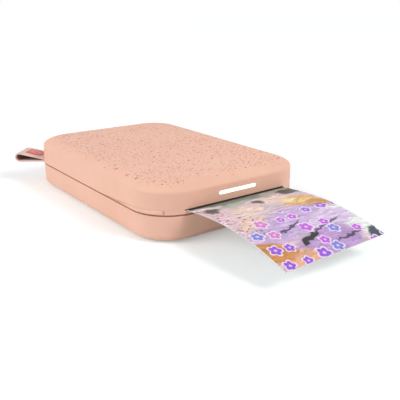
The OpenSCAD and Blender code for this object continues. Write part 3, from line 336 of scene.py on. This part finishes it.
def speckledPlastic():
    # the case's moulded plastic with a fine speckle on its top, fading at its margins
    material = casePlastic("mouldedCaseTop")
    tree = material.node_tree
    shader = tree.nodes["Principled BSDF"]
    painted = shader.inputs["Base Color"].links[0].from_node
    coords = objectCoords(tree)
    # the distance past the corners' centres, which grows towards the case's edge
    flat = addNode(tree, "VectorMath", (coords, (1, 1, 0)), operation="MULTIPLY")
    folded = addNode(tree, "VectorMath", (flat,), operation="ABSOLUTE")
    past = addNode(tree, "VectorMath", (folded, (*caseCorner, 0.0)), operation="SUBTRACT")
    past = addNode(tree, "VectorMath", (past, (0, 0, 0)), operation="MAXIMUM")
    out = addNode(tree, "VectorMath", (past,), operation="LENGTH")
    inside = addNode(tree, "MapRange", (out, speckle["none"], speckle["full"]))
    place = addNode(tree, "SeparateXYZ", (coords,))
    upper = addNode(tree, "Math", (place.outputs["Z"], speckle["above"]), operation="GREATER_THAN")
    field = addNode(tree, "Math", (inside, upper), operation="MULTIPLY")
    drift = addNode(tree, "TexNoise", {"Vector": coords, "Scale": speckle["drift"], "Detail": 3.0})
    crowd = addNode(tree, "MapRange", (drift, *speckle["driftEnds"], *speckle["crowding"]))
    thick = addNode(tree, "Math", (field, crowd), operation="MULTIPLY")
    toRed = addNode(tree, "VectorMath", (flat, speckle["redAt"]), operation="SUBTRACT")
    away = addNode(tree, "VectorMath", (toRed,), operation="LENGTH")
    red = addNode(tree, "MapRange", (away, speckle["redReach"], 0.0))
    shiftX, shiftY = speckle["shift"]
    for number, mark in enumerate(marks):
        cell = mark["cell"]
        grid = addNode(tree, "Mapping", {
            "Vector": coords, "Location": (number * shiftX, number * shiftY, 0),
            "Rotation": (0, 0, math.radians(speckle["turn"] * number)),
            "Scale": (1 / cell / mark["stretch"], 1 / cell, 0)})
        cells = addNode(tree, "TexVoronoi", {"Vector": grid, "Scale": 1.0, "Randomness": 1.0},
                        voronoi_dimensions="2D")
        lots = addNode(tree, "SeparateColor", (cells.outputs["Color"],))
        share = addNode(tree, "Math", (thick, mark["share"]), operation="MULTIPLY")
        chosen = addNode(tree, "Math", (lots.outputs["Red"], share), operation="LESS_THAN")
        radius = addNode(tree, "MapRange", {
            "Value": lots.outputs["Green"], "To Min": mark["radius"] * speckle["smallest"] / cell,
            "To Max": mark["radius"] / cell})
        ratio = addNode(tree, "Math", (cells.outputs["Distance"], radius), operation="DIVIDE")
        edge = addNode(tree, "MapRange", (ratio, 1.0, speckle["solid"], 0.0, mark["cover"]))
        covered = addNode(tree, "Math", (edge, chosen), operation="MULTIPLY")
        tint = addNode(tree, "Mix", (red, linearColour(mark["hex"]), linearColour(speckle["red"])),
                       data_type="RGBA")
        painted = addNode(tree, "Mix", (covered, painted, tint), data_type="RGBA")
    feed(tree, shader, Base_Color=painted)
    return material


# ribs are about 1 mm apart and threads about 0.7 mm, coarser than real ones so that they show; depths in mm
webbing = {
    "ribs": 0.32, "ribsWave": 0.4, "threads": 0.45, "threadsWave": 0.3,
    "outer": {"low": "e6c3b6", "high": "f6ddd2", "bump": 0.6, "depth": 0.15},
    # painted shade: a darker copy of the tape for the loop's inner faces
    "shadedInside": {"low": "9c786b", "high": "b99486", "bump": 0.5, "depth": 0.1},
}


def wovenTape(name, side, crossed, **fixed):
    # polyester webbing, dull and softly ribbed, on its own map in mm: ribs run across its length and, on the
    # outer side, threads run along it
    material, tree, shader = newMaterial(name, **fixed)
    place = addNode(tree, "UVMap", uv_map="clothMap")
    weave = addNode(tree, "TexWave", {
        "Vector": place, "Scale": webbing["ribs"], "Distortion": webbing["ribsWave"],
        "Detail": 1.0}, wave_type="BANDS", bands_direction="X").outputs["Fac"]
    if crossed:
        threads = addNode(tree, "TexWave", {
            "Vector": place, "Scale": webbing["threads"], "Distortion": webbing["threadsWave"],
            "Detail": 1.0}, wave_type="BANDS", bands_direction="Y")
        weave = addNode(tree, "Math", (weave, threads.outputs["Fac"]), operation="MULTIPLY")
    colour = addNode(tree, "Mix", (weave, linearColour(side["low"]), linearColour(side["high"])),
                     data_type="RGBA")
    bump = addNode(tree, "Bump", {"Height": weave, "Strength": side["bump"], "Distance": side["depth"] * mm})
    feed(tree, shader, Base_Color=colour, Normal=bump)
    return material


# the stripes are about 2.8 mm apart and the fuzz is 0.3 mm; the border's width and the bump's depth in mm
patch = {"stripes": 0.16, "fuzz": 3.0, "low": "e0665c", "high": "ffa392", "border": "cf5a52",
         "borderWidth": 0.9, "bump": 0.5, "depth": 0.1}


def wovenPatch(length, left, right):
    # coral damask label: satin stripes inside a darker woven border, on its own map in mm
    material, tree, shader = newMaterial("wovenCoralLabel", Roughness=0.6, Sheen_Weight=0.3)
    place = addNode(tree, "UVMap", uv_map="clothMap")
    parts = addNode(tree, "SeparateXYZ", (place,))
    stripes = addNode(tree, "TexWave", {"Vector": place, "Scale": patch["stripes"], "Distortion": 0.3},
                      wave_type="BANDS", bands_direction="DIAGONAL")
    fine = addNode(tree, "TexNoise", {"Vector": place, "Scale": patch["fuzz"], "Detail": 2.0})
    tone = addNode(tree, "Math", (stripes, fine), operation="MULTIPLY")
    satin = addNode(tree, "Mix", (tone, linearColour(patch["low"]), linearColour(patch["high"])),
                    data_type="RGBA")
    border = patch["borderWidth"]
    along = addNode(tree, "Math", (parts.outputs["X"], length / 2, length / 2 - border), operation="COMPARE")
    across = addNode(tree, "Math", (parts.outputs["Y"], (left + right) / 2, (right - left) / 2 - border),
                     operation="COMPARE")
    middle = addNode(tree, "Math", (along, across), operation="MULTIPLY")
    colour = addNode(tree, "Mix", (middle, linearColour(patch["border"]), satin), data_type="RGBA")
    bump = addNode(tree, "Bump", {"Height": tone, "Strength": patch["bump"], "Distance": patch["depth"] * mm})
    feed(tree, shader, Base_Color=colour, Normal=bump)
    return material


slotExit = -60.0  # in mm, where the print leaves the case
# A blurred garden, in mm: x runs across the print, y from the slot to its free end (-113). Each spot is a
# soft ellipse with its half-sizes w and h, painted over the ones before it; the last two lie in the slot and
# behind it, where the print comes out plain: a near-black stripe of painted shadow from the cover's
# lip, and the hedge beyond it.
gardenSpots = [
    {"x": -21, "y": -90, "w": 10, "h": 24, "soft": 0.6, "hex": "e7c6cf"},
    {"x": 23, "y": -99, "w": 8, "h": 12, "soft": 0.6, "hex": "eef0ee"},
    {"x": 8, "y": -72, "w": 10, "h": 4.5, "soft": 0.7, "hex": "efd6c9", "turn": -12},
    {"x": -10, "y": -76, "w": 8, "h": 6, "soft": 0.7, "hex": "ecd0c6", "turn": 20},
    {"x": 0, "y": -61.5, "w": 60, "h": 4.2, "soft": 0.6, "hex": "76857d"},
    {"x": 15, "y": -63, "w": 8, "h": 2.5, "soft": 0.8, "hex": "aab4ab", "turn": 6},
    {"x": -8, "y": -66.5, "w": 9, "h": 2, "soft": 0.7, "hex": "a9b3a4", "turn": 8},
    {"x": 21, "y": -66, "w": 5, "h": 3.5, "soft": 0.5, "hex": "3a3e37", "turn": -10},
    {"x": -20, "y": -68, "w": 4, "h": 3, "soft": 0.5, "hex": "4b5650", "turn": 20},
    {"x": 1, "y": -70, "w": 2.6, "h": 2, "soft": 0.5, "hex": "44534f"},
    {"x": -20, "y": -63.5, "w": 7, "h": 1.8, "soft": 0.7, "hex": "e9dfe4", "turn": -8},
    {"x": 16, "y": -80, "w": 8, "h": 7, "soft": 0.5, "hex": "dba556", "turn": -24},
    {"x": 12, "y": -76, "w": 4, "h": 2.6, "soft": 0.7, "hex": "f6dca6", "turn": 10},
    {"x": 21, "y": -84, "w": 5, "h": 5, "soft": 0.45, "hex": "cf8f3c"},
    {"x": 18, "y": -79, "w": 4, "h": 1.6, "soft": 0.6, "hex": "f0c579", "turn": 15},
    {"x": 14, "y": -85, "w": 5, "h": 1.5, "soft": 0.6, "hex": "8a4a1d", "turn": -14},
    {"x": -4, "y": -92, "w": 22, "h": 8, "soft": 0.4, "hex": "cbaedb", "turn": 16},
    {"x": 14, "y": -96, "w": 12, "h": 6, "soft": 0.5, "hex": "dcc6e6", "turn": 10},
    {"x": -16, "y": -86, "w": 7, "h": 3, "soft": 0.6, "hex": "eecdbb", "turn": 18},
    {"x": 2, "y": -108, "w": 16, "h": 8, "soft": 0.35, "hex": "bb98cd", "turn": 8},
    {"x": -6, "y": -95, "w": 8, "h": 0.7, "soft": 0.5, "hex": "55396a", "turn": 20},
    {"x": 8, "y": -99, "w": 10, "h": 0.8, "soft": 0.5, "hex": "6a4b80", "turn": 12},
    {"x": 12, "y": -108, "w": 8, "h": 0.6, "soft": 0.5, "hex": "4d335c", "turn": 6},
    {"x": -21, "y": -105, "w": 8, "h": 6, "soft": 0.4, "hex": "cf8b4a", "turn": -20},
    {"x": -14, "y": -111, "w": 7, "h": 4, "soft": 0.4, "hex": "e8ae8c", "turn": 14},
    {"x": -4, "y": -103, "w": 6, "h": 1.1, "soft": 0.3, "hex": "0d080b", "turn": 24},
    {"x": 24, "y": -111, "w": 4, "h": 3.5, "soft": 0.5, "hex": "33464d"},
    # painted shadow of the cover's lip: a near-black stripe in the picture itself, so it slides out with the
    # print
    {"x": 0, "y": -58.6, "w": 60, "h": 2.0, "soft": 0.25, "hex": "1c2222"},
    {"x": 0, "y": -46, "w": 80, "h": 11.4, "soft": 0.05, "hex": "5f6f67"},
]
# the spots outside the slot are bent by up to half the bend in mm, in waves of about 5 mm; brush strokes of
# about 6 by 1 mm, turned by degrees, darken and lighten the whole picture between two shares
brush = {"ground": "d6bdc8", "waves": 0.2, "bend": 7, "turn": 12, "strokes": (0.16, 0.9, 1),
         "strokeEnds": (0.3, 0.7), "strokeDepth": (0.66, 1.3)}
# small dark twigs, about 1.3 mm apart, inside one ellipse
sprigs = {"x": -20, "y": -84, "w": 8, "h": 13, "soft": 0.6, "scale": 0.75, "edges": (0.58, 0.63),
          "hex": "7e4053"}
# one flower in most cells of that size in mm, ahead of a slanting line; radii are shares of a cell
flowers = {
    "cell": 8.2, "scatter": 0.55, "from": -83.0, "slope": -0.12, "share": 0.80,
    "petals": 5, "radius": 0.29, "wave": 0.10, "sizes": (0.78, 1.12),
    "rim": {"reach": 1.34, "cover": 0.85, "hex": "f3e3f3"}, "petal": {"reach": 1.0, "cover": 0.92},
    "eye": {"reach": 0.3, "cover": 0.8, "hex": "f0d9f2"},
    "colours": ((0.0, "c23be0"), (0.3, "dd6cc8"), (0.5, "9035dc"), (0.8, "6a78dc")),
}


def ellipseEdge(tree, coords, spot):
    # 1 inside a turned ellipse, falling to 0 over its soft edge
    local = addNode(tree, "Mapping", {
        "Vector": coords, "Location": (spot["x"], spot["y"], 0),
        "Rotation": (0, 0, math.radians(spot.get("turn", 0))),
        "Scale": (spot["w"], spot["h"], 1)}, vector_type="TEXTURE")
    reach = addNode(tree, "VectorMath", (local,), operation="LENGTH")
    soft = spot["soft"] / 2
    return addNode(tree, "MapRange", (reach, 1 + soft, 1 - soft), interpolation_type="SMOOTHSTEP")


def paintGarden(tree, coords):
    # the soft spots, the sprigs and brush-like streaks over both
    warp = addNode(tree, "TexNoise", {
        "Vector": coords, "Scale": brush["waves"], "Detail": 5.0, "Roughness": 0.6})
    bend = brush["bend"]
    pushed = addNode(tree, "VectorMath", (
        warp.outputs["Color"], (bend, bend, 0), (-bend / 2, -bend / 2, 0)), operation="MULTIPLY_ADD")
    bent = addNode(tree, "VectorMath", (coords, pushed), operation="ADD")
    colour = linearColour(brush["ground"])
    for spot in gardenSpots:
        edge = ellipseEdge(tree, coords if spot["y"] > slotExit else bent, spot)
        colour = addNode(tree, "Mix", (edge, colour, linearColour(spot["hex"])), data_type="RGBA")
    twigs = addNode(tree, "TexNoise", {"Vector": coords, "Scale": sprigs["scale"], "Detail": 3.0})
    thin = addNode(tree, "MapRange", (twigs, *sprigs["edges"]))
    drawn = addNode(tree, "Math", (thin, ellipseEdge(tree, coords, sprigs)), operation="MULTIPLY")
    colour = addNode(tree, "Mix", (drawn, colour, linearColour(sprigs["hex"])), data_type="RGBA")
    streaks = addNode(tree, "Mapping", {
        "Vector": bent, "Rotation": (0, 0, math.radians(brush["turn"])), "Scale": brush["strokes"]})
    strokes = addNode(tree, "TexNoise", {"Vector": streaks, "Scale": 1.0, "Detail": 5.0})
    depth = addNode(tree, "MapRange", (strokes, *brush["strokeEnds"], *brush["strokeDepth"]))
    return addNode(tree, "Mix", (1.0, colour, depth), data_type="RGBA", blend_type="MULTIPLY")


def paintFlowers(tree, coords, colour):
    # flowers of their own size and turn, each with a pale rim and a pale eye
    size = flowers["cell"]
    cells = addNode(tree, "Mapping", {"Vector": coords, "Scale": (1 / size, 1 / size, 0)})
    points = addNode(tree, "TexVoronoi", {"Vector": cells, "Scale": 1.0, "Randomness": flowers["scatter"]},
                     voronoi_dimensions="2D")
    lots = addNode(tree, "SeparateColor", (points.outputs["Color"],))
    parts = addNode(tree, "SeparateXYZ", (addNode(
        tree, "VectorMath", (cells, points.outputs["Position"]), operation="SUBTRACT"),))
    angle = addNode(tree, "Math", (parts.outputs["Y"], parts.outputs["X"]), operation="ARCTAN2")
    turned = addNode(tree, "Math", (angle, flowers["petals"] / 2, lots.outputs["Blue"]),
                     operation="MULTIPLY_ADD")
    wave = addNode(tree, "Math", (turned,), operation="COSINE")
    lobes = addNode(tree, "Math", (wave,), operation="ABSOLUTE")
    shape = addNode(tree, "Math", (lobes, flowers["wave"], flowers["radius"] - flowers["wave"]),
                    operation="MULTIPLY_ADD")
    smallest, largest = flowers["sizes"]
    bigger = addNode(tree, "MapRange", {"Value": lots.outputs["Blue"], "To Min": smallest, "To Max": largest})
    radius = addNode(tree, "Math", (shape, bigger), operation="MULTIPLY")
    ratio = addNode(tree, "Math", (points.outputs["Distance"], radius), operation="DIVIDE")
    place = addNode(tree, "SeparateXYZ", (coords,))
    ahead = addNode(tree, "Math", (flowers["from"], place.outputs["Y"]), operation="SUBTRACT")
    ahead = addNode(tree, "Math", (place.outputs["X"], flowers["slope"], ahead), operation="MULTIPLY_ADD")
    outer = addNode(tree, "Math", (ahead, 0.0), operation="GREATER_THAN")
    chosen = addNode(tree, "Math", (lots.outputs["Red"], flowers["share"]), operation="LESS_THAN")
    present = addNode(tree, "Math", (outer, chosen), operation="MULTIPLY")
    palette = addNode(tree, "ValToRGB", (lots.outputs["Green"],))
    ramp = palette.color_ramp
    ramp.interpolation = "CONSTANT"
    ramp.elements.remove(ramp.elements[1])
    for stop, hexText in flowers["colours"]:
        element = ramp.elements[0] if stop == 0 else ramp.elements.new(stop)
        element.color = linearColour(hexText)
    for layer in (flowers["rim"], flowers["petal"], flowers["eye"]):
        tint = linearColour(layer["hex"]) if "hex" in layer else palette
        inside = addNode(tree, "Math", (ratio, layer["reach"]), operation="LESS_THAN")
        there = addNode(tree, "Math", (inside, present), operation="MULTIPLY")
        covered = addNode(tree, "Math", (there, layer["cover"]), operation="MULTIPLY")
        colour = addNode(tree, "Mix", (covered, colour, tint), data_type="RGBA")
    return colour


def printedPhoto():
    # dye print under a thin clear coat: a blurred garden with small painted flowers on its outer half
    material, tree, shader = newMaterial(
        "glossyDyePrint", Roughness=0.4, IOR=1.45, Coat_Weight=0.05, Coat_Roughness=0.2)
    coords = addNode(tree, "VectorMath", (objectCoords(tree), (1, 1, 0)), operation="MULTIPLY")
    colour = paintFlowers(tree, coords, paintGarden(tree, coords))
    feed(tree, shader, Base_Color=colour)
    return material


lightBar = {"low": "fbfbf8", "high": "ffffff", "clouds": 0.3, "glow": 0.9}


def litWindow():
    # opal light pipe with white light behind it: evenly white, without a hot spot
    material, tree, shader = newMaterial(
        "opalLightPipe", Roughness=0.25, IOR=1.49, Emission_Strength=lightBar["glow"])
    cloud = addNode(tree, "TexNoise", {
        "Vector": objectCoords(tree), "Scale": lightBar["clouds"], "Detail": 2.0})
    colour = addNode(tree, "Mix", (cloud, linearColour(lightBar["low"]), linearColour(lightBar["high"])),
                     data_type="RGBA")
    feed(tree, shader, Base_Color=colour, Emission_Color=colour)
    return material


# the tracks run round fields of 2 by 1 mm, coarser than real ones, and stand up by the depth in mm
circuit = {"bricks": 0.25, "gap": 0.04, "mask": "17583a", "other": "1a6341", "track": "2b7d55",
           "bump": 0.3, "depth": 0.03}


def solderMask():
    # green solder mask over copper: glossy, with the tracks showing through as a lighter pattern
    material, tree, shader = newMaterial("greenSolderMask", Roughness=0.3, IOR=1.5, Coat_Weight=0.3)
    tracks = addNode(tree, "TexBrick", {
        "Vector": objectCoords(tree), "Scale": circuit["bricks"], "Mortar Size": circuit["gap"],
        "Color1": linearColour(circuit["mask"]), "Color2": linearColour(circuit["other"]),
        "Mortar": linearColour(circuit["track"])})
    bump = addNode(tree, "Bump", {
        "Height": tracks.outputs["Fac"], "Strength": circuit["bump"], "Distance": circuit["depth"] * mm})
    feed(tree, shader, Base_Color=tracks, Normal=bump)
    return material


# one finish for each of the frame's material slots
finishes = {
    "case_plastic": casePlastic("mouldedCase"),
    "frame_plastic": mouldedPlastic("mouldedFrame", "f4c3ac", "f1bea7", 0.55),  # as the case, a little duller
    "light_window": litWindow(),
    "foot_rubber": mouldedPlastic("mouldedFootRubber", "8d7a73", "857169", 0.85, grain=0.5),  # dull and even
    "steel": finishedMetal("zincPlatedSteel", "c9cacd", "a9abb0", 0.32),  # bright, faintly lined
    "sheet_steel": finishedMetal("rolledSheetSteel", "b9bcc1", "9b9ea5", 0.38),  # greyer, with rolling lines
    "aluminium": finishedMetal("extrudedAluminium", "d3d6da", "b8bcc2", 0.34),  # pale, with extrusion lines
    "spring_steel": finishedMetal("drawnSpringSteel", "c2c4c9", "96999f", 0.28),  # the sharpest shine
    "webbing": wovenTape("wovenWebbing", webbing["outer"], True,
                         Roughness=0.85, Sheen_Weight=0.2, Sheen_Roughness=0.6),
    "paper": mouldedPlastic("coatedPhotoPaper", "f8f8f6", "ececea", 0.4, grain=0.6, depth=0.01),  # smooth
    "print": mouldedPlastic("mattePrintBacking", "e9e9e6", "dfdfdb", 0.55,
                            grain=0.6, depth=0.01),  # dull and a little off-white
    "dark_plastic": mouldedPlastic("mouldedDarkNylon", "2b2b2e", "232326", 0.5),  # satin black
    "rubber": mouldedPlastic("groundSiliconeRubber", "2a2a2c", "222224", 0.82,
                             grain=0.25, depth=0.05),  # dull black, finely rough
    "gear_plastic": mouldedPlastic("mouldedAcetal", "eceae0", "e2dfd3", 0.42),  # milky and a little waxy
    "ceramic": mouldedPlastic("glazedAlumina", "f0eee6", "e6e3d8", 0.2),  # white and glossy
    "ribbon": mouldedPlastic("amberFlexFilm", "c98a3b", "b8792d", 0.3),  # amber and shiny
    "shield": finishedMetal("tinPlatedShield", "c6c7c4", "aeb0ad", 0.35),  # warm grey shine
    "brass": finishedMetal("turnedBrass", "d9b563", "bd9848", 0.3),  # yellow, with turning lines
    "wire": mouldedPlastic("wireInsulation", "a32620", "8c1d18", 0.45),  # soft red sheath
    "board": solderMask(),
    "white_plastic": mouldedPlastic("mouldedWhiteNylon", "efede6", "e4e1d8", 0.5),  # chalky white
    "cell": finishedMetal("foilPouch", "b9bcc2", "a4a8ae", 0.36, metallic=0.8),  # silvery, through a film
}
slotOf = {part["node"]: part["material_slot"] for part in frame["record"]["subparts"]}
for name, piece in nodes.items():
    piece.data.materials.clear()
    piece.data.materials.append(finishes[slotOf[name]])
print("materials ready")


# in mm: the rim under the cover's lip. Ahead of back, outer edges past the inner radius go out to the flush
# one, round the corners' centres, and what lies between from and to also rises by the lift, to a hairline
# below the lip. The band moves only between foot and to, and meets the bezel between end and meet.
rim = {"foot": 11.9, "from": 12.3, "to": 13.65, "back": -20.0, "lift": 0.28, "flush": 16.95, "inner": 15.3,
       "end": 33.45, "meet": 33.7, "stretch": 0.04}


def closeRim(piece):
    # moves the outer edges of the band or of the bezel near the cover's front end
    isBezel = piece.name == "slotBezel"
    cornerX, cornerY = caseCorner
    for vertex in piece.data.vertices:
        x, y, z = vertex.co / mm
        rises = rim["from"] < z < rim["to"]
        if y > rim["back"] or not (rim["foot"] < z < rim["to"] or isBezel):
            continue
        atJoint = rim["end"] < abs(x) < rim["meet"]
        if atJoint and isBezel:
            x += math.copysign(rim["stretch"], x)  # its ends reach the band's
        centre = Vector((max(-cornerX, min(cornerX, x)), max(-cornerY, y)))
        out = Vector((x, y)) - centre
        if rim["inner"] < out.length < rim["flush"]:
            if atJoint:
                y = centre.y - math.sqrt(rim["flush"] ** 2 - out.x ** 2)
            else:
                x, y = centre + out * rim["flush"] / out.length
        vertex.co = Vector((x, y, z + (rim["lift"] if rises else 0.0))) * mm
    piece.data.update()


# each moulded piece's own name, its body and its edges' radius in mm
mouldings = {
    "top_cover": {"name": "topCoverShell", "body": "cover", "edge": 0.22},
    "base_shell": {"name": "baseShell", "body": "case", "edge": 0.22},
    "mid_frame": {"name": "midFrame", "body": "case", "edge": 0},
    "slot_bezel": {"name": "slotBezel", "body": "case", "edge": 0},
    "power_button": {"name": "powerButton", "body": "power", "edge": 0.3},
    "rubber_feet": {"name": "rubberFeet", "body": "case", "edge": 0.3},
}
for node, moulded in mouldings.items():
    piece = cleanCopy(node, moulded["name"], moulded["edge"])
    if node in ("mid_frame", "slot_bezel"):
        closeRim(piece)
    finish = speckledPlastic() if node == "top_cover" else finishes[slotOf[node]]
    settle(piece, finish, moulded["body"], slotOf[node], node)
print("case ready")


# in mm: s runs out from the middle of the case's rounded corner, t across the webbing. Both plies lie level
# from the root to the bend, rise to the exit from the case at s of 0, and part round the loop's centre, given
# as (s, height); halfGap is from either ply's middle line to the one between them. The label covers the upper
# ply from one s to the other, between its sides in t.
tab = {
    "corner": (-35.0208, 54.0208), "turn": 135, "width": 12.0, "ply": 0.96, "halfGap": 0.5,
    "root": -9.0, "height": 11.65, "bend": -2.6, "exit": 12.46, "loop": (12.55, 13.2), "loopRadius": 1.95,
    "loopSteps": 18, "step": 1.0, "label": (1.4, 10.6), "labelSides": (-4.9, 3.5), "labelThickness": 0.25,
}


def tabPoint(s, t, z):
    # along the tab from the case's corner, across it, and up, in metres
    a = math.radians(tab["turn"])
    x, y = tab["corner"]
    return Vector((x + s * math.cos(a) - t * math.sin(a), y + s * math.sin(a) + t * math.cos(a), z)) * mm


def tangentAngle(point, centre, radius, side):
    # where a line from the point touches the loop's round end
    dx, dz = centre[0] - point[0], centre[1] - point[1]
    return math.atan2(-dz, -dx) + side * math.acos(radius / math.hypot(dx, dz))


def tabPath():
    # the webbing's middle line, as [along, up] points: out by the lower ply and back by the upper one
    half = tab["halfGap"]
    low, high = (0.0, tab["exit"] - half), (0.0, tab["exit"] + half)
    centre, radius = tab["loop"], tab["loopRadius"]
    fullTurn = 2 * math.pi
    first = tangentAngle(low, centre, radius, 1) % fullTurn - fullTurn
    last = tangentAngle(high, centre, radius, -1) % fullTurn - fullTurn
    if last < first:
        last += fullTurn
    corners = [(tab["root"], tab["height"] - half), (tab["bend"], tab["height"] - half), low]
    for i in range(tab["loopSteps"] + 1):
        a = first + (last - first) * i / tab["loopSteps"]
        corners.append((centre[0] + radius * math.cos(a), centre[1] + radius * math.sin(a)))
    corners += [high, (tab["bend"], tab["height"] + half), (tab["root"], tab["height"] + half)]
    points = [corners[0]]
    for a, b in zip(corners, corners[1:]):
        count = max(1, round(math.dist(a, b) / tab["step"]))
        points += [(a[0] + (b[0] - a[0]) * k / count, a[1] + (b[1] - a[1]) * k / count)
                   for k in range(1, count + 1)]
    return points


# edges past one angle are rounded to a share of the thickness, and shaded smooth up to the other
strip = {"rounding": 0.2, "sharp": 50, "smooth": 40}


def drawnStrip(name, path, left, right, thickness, offset):
    # an edge across the strip, extruded point by point along the path, mapped in mm, then thickened
    deselectAll()
    bpy.ops.mesh.primitive_plane_add(size=1)
    piece = bpy.context.object
    piece.name = name
    bpy.ops.object.mode_set(mode="EDIT")
    bpy.ops.mesh.select_all(action="SELECT")
    bpy.ops.mesh.delete(type="ONLY_FACE")
    bpy.ops.mesh.select_mode(type="VERT")
    bpy.ops.object.mode_set(mode="OBJECT")
    for vertex in piece.data.vertices:
        vertex.select = vertex.co.y > 0
    bpy.ops.object.mode_set(mode="EDIT")
    bpy.ops.mesh.delete(type="VERT")
    bpy.ops.object.mode_set(mode="OBJECT")
    s, z = path[0]
    for vertex, t in zip(piece.data.vertices, (left, right)):
        vertex.co = tabPoint(s, t, z)
    bpy.ops.object.mode_set(mode="EDIT")
    bpy.ops.mesh.select_all(action="SELECT")
    for (s0, z0), (s1, z1) in zip(path, path[1:]):
        move = tabPoint(s1, 0, z1) - tabPoint(s0, 0, z0)
        bpy.ops.mesh.extrude_region_move(TRANSFORM_OT_translate={"value": move})
    bpy.ops.object.mode_set(mode="OBJECT")
    reach = [0.0]
    for a, b in zip(path, path[1:]):
        reach.append(reach[-1] + math.dist(a, b))
    clothMap = piece.data.uv_layers.new(name="clothMap")
    for loop in piece.data.loops:
        side = left if loop.vertex_index % 2 == 0 else right
        clothMap.data[loop.index].uv = (reach[loop.vertex_index // 2], side)
    solid = piece.modifiers.new("ply", "SOLIDIFY")
    solid.thickness = thickness * mm
    solid.offset = offset
    addBevel(piece, thickness * strip["rounding"], strip["sharp"])
    applyModifiers(piece)
    bpy.ops.object.shade_smooth_by_angle(angle=math.radians(strip["smooth"]))
    return piece, reach[-1]


def labelPath():
    # points on the upper ply's outer face, from near the case outwards
    start, end = tab["label"]
    points = [p for p in tabPath()[::-1] if start <= p[0] <= end and p[1] > tab["exit"]]
    ahead = Vector(points[-1]) - Vector(points[0])
    lift = Vector((-ahead.y, ahead.x)).normalized() * tab["ply"] / 2
    return [(p[0] + lift.x, p[1] + lift.y) for p in points]


def paintShadeInside(piece):
    # the loop's inner faces get a darker copy of the tape: painted shade inside the loop
    piece.data.materials.append(wovenTape("wovenWebbingPaintedShade", webbing["shadedInside"], False, Roughness=0.9))
    start = tabPoint(0, 0, 0)
    ahead = tabPoint(1, 0, 0) - start
    loopS, loopZ = tab["loop"]
    for face in piece.data.polygons:
        s = (face.center - start).dot(ahead) / ahead.length_squared
        z = face.center.z / mm
        u = min(1, s / loopS)
        across = z - tab["exit"] - (loopZ - tab["exit"]) * u
        reach = math.hypot(max(0, s - loopS), across)
        middle = tab["halfGap"] + (tab["loopRadius"] - tab["halfGap"]) * u
        if s > 0 and reach < middle - tab["ply"] / 4:  # well inside the ply's middle line
            face.material_index = 1


tabLoop, tabLength = drawnStrip("wovenTabLoop", tabPath(), -tab["width"] / 2, tab["width"] / 2, tab["ply"], 0)
settle(tabLoop, finishes["webbing"], "case", "webbing", "strap_tab")
paintShadeInside(tabLoop)
labelLeft, labelRight = tab["labelSides"]
label, labelLength = drawnStrip("wovenLabel", labelPath(), labelLeft, labelRight, tab["labelThickness"], -1)
settle(label, wovenPatch(labelLength, labelLeft, labelRight), "case", "webbing")
print("tab ready:", round(tabLength, 2), "mm of webbing,", round(labelLength, 2), "mm of label")


# in mm: the print lies level up to the slot's exit, then climbs, curls down by a power of the distance and
# turns a little, over its reach; its length along the curve is summed over the samples
printShape = {
    "width": 50.8, "length": 76.2, "thickness": 0.3, "level": 13.35, "reach": 53.0,
    "climb": 6.0, "curl": 11.0, "power": 2.2, "twist": 0.6, "columns": 12, "rows": 76,
    "samples": 200, "smooth": 40,
}


def printHeight(x, y):
    # the print's underside
    u = max(0.0, (slotExit - y) / printShape["reach"])
    return (printShape["level"] + printShape["climb"] * u - printShape["curl"] * u ** printShape["power"]
            + printShape["twist"] * x / (printShape["width"] / 2) * u * u)


def makePrint():
    # a fine grid bent to the print's shape and thickened upwards; its tail lies where the length along the
    # curve comes out right
    freeEnd = slotExit - printShape["reach"]
    count = printShape["samples"]
    steps = [slotExit - printShape["reach"] * i / count for i in range(count + 1)]
    curved = sum(math.dist((a, printHeight(0, a)), (b, printHeight(0, b))) for a, b in zip(steps, steps[1:]))
    tail = slotExit + printShape["length"] - curved
    deselectAll()
    bpy.ops.mesh.primitive_grid_add(
        x_subdivisions=printShape["columns"], y_subdivisions=printShape["rows"], size=1)
    piece = bpy.context.object
    piece.name = "photoPrint"
    for vertex in piece.data.vertices:
        x = vertex.co.x * printShape["width"]
        y = freeEnd + (vertex.co.y + 0.5) * (tail - freeEnd)
        vertex.co = Vector((x, y, printHeight(x, y))) * mm
    solid = piece.modifiers.new("sheet", "SOLIDIFY")
    solid.thickness = printShape["thickness"] * mm
    solid.offset = 1
    solid.use_even_offset = True
    applyModifiers(piece)
    bpy.ops.object.shade_smooth_by_angle(angle=math.radians(printShape["smooth"]))
    settle(piece, finishes["print"], "print", "print", "print_sheet")
    piece.data.materials.append(printedPhoto())
    for face in piece.data.polygons:
        face.material_index = 1 if face.normal.z > 0.5 else 0  # the picture is on the upper side


makePrint()
print("print ready")

print("scene built")
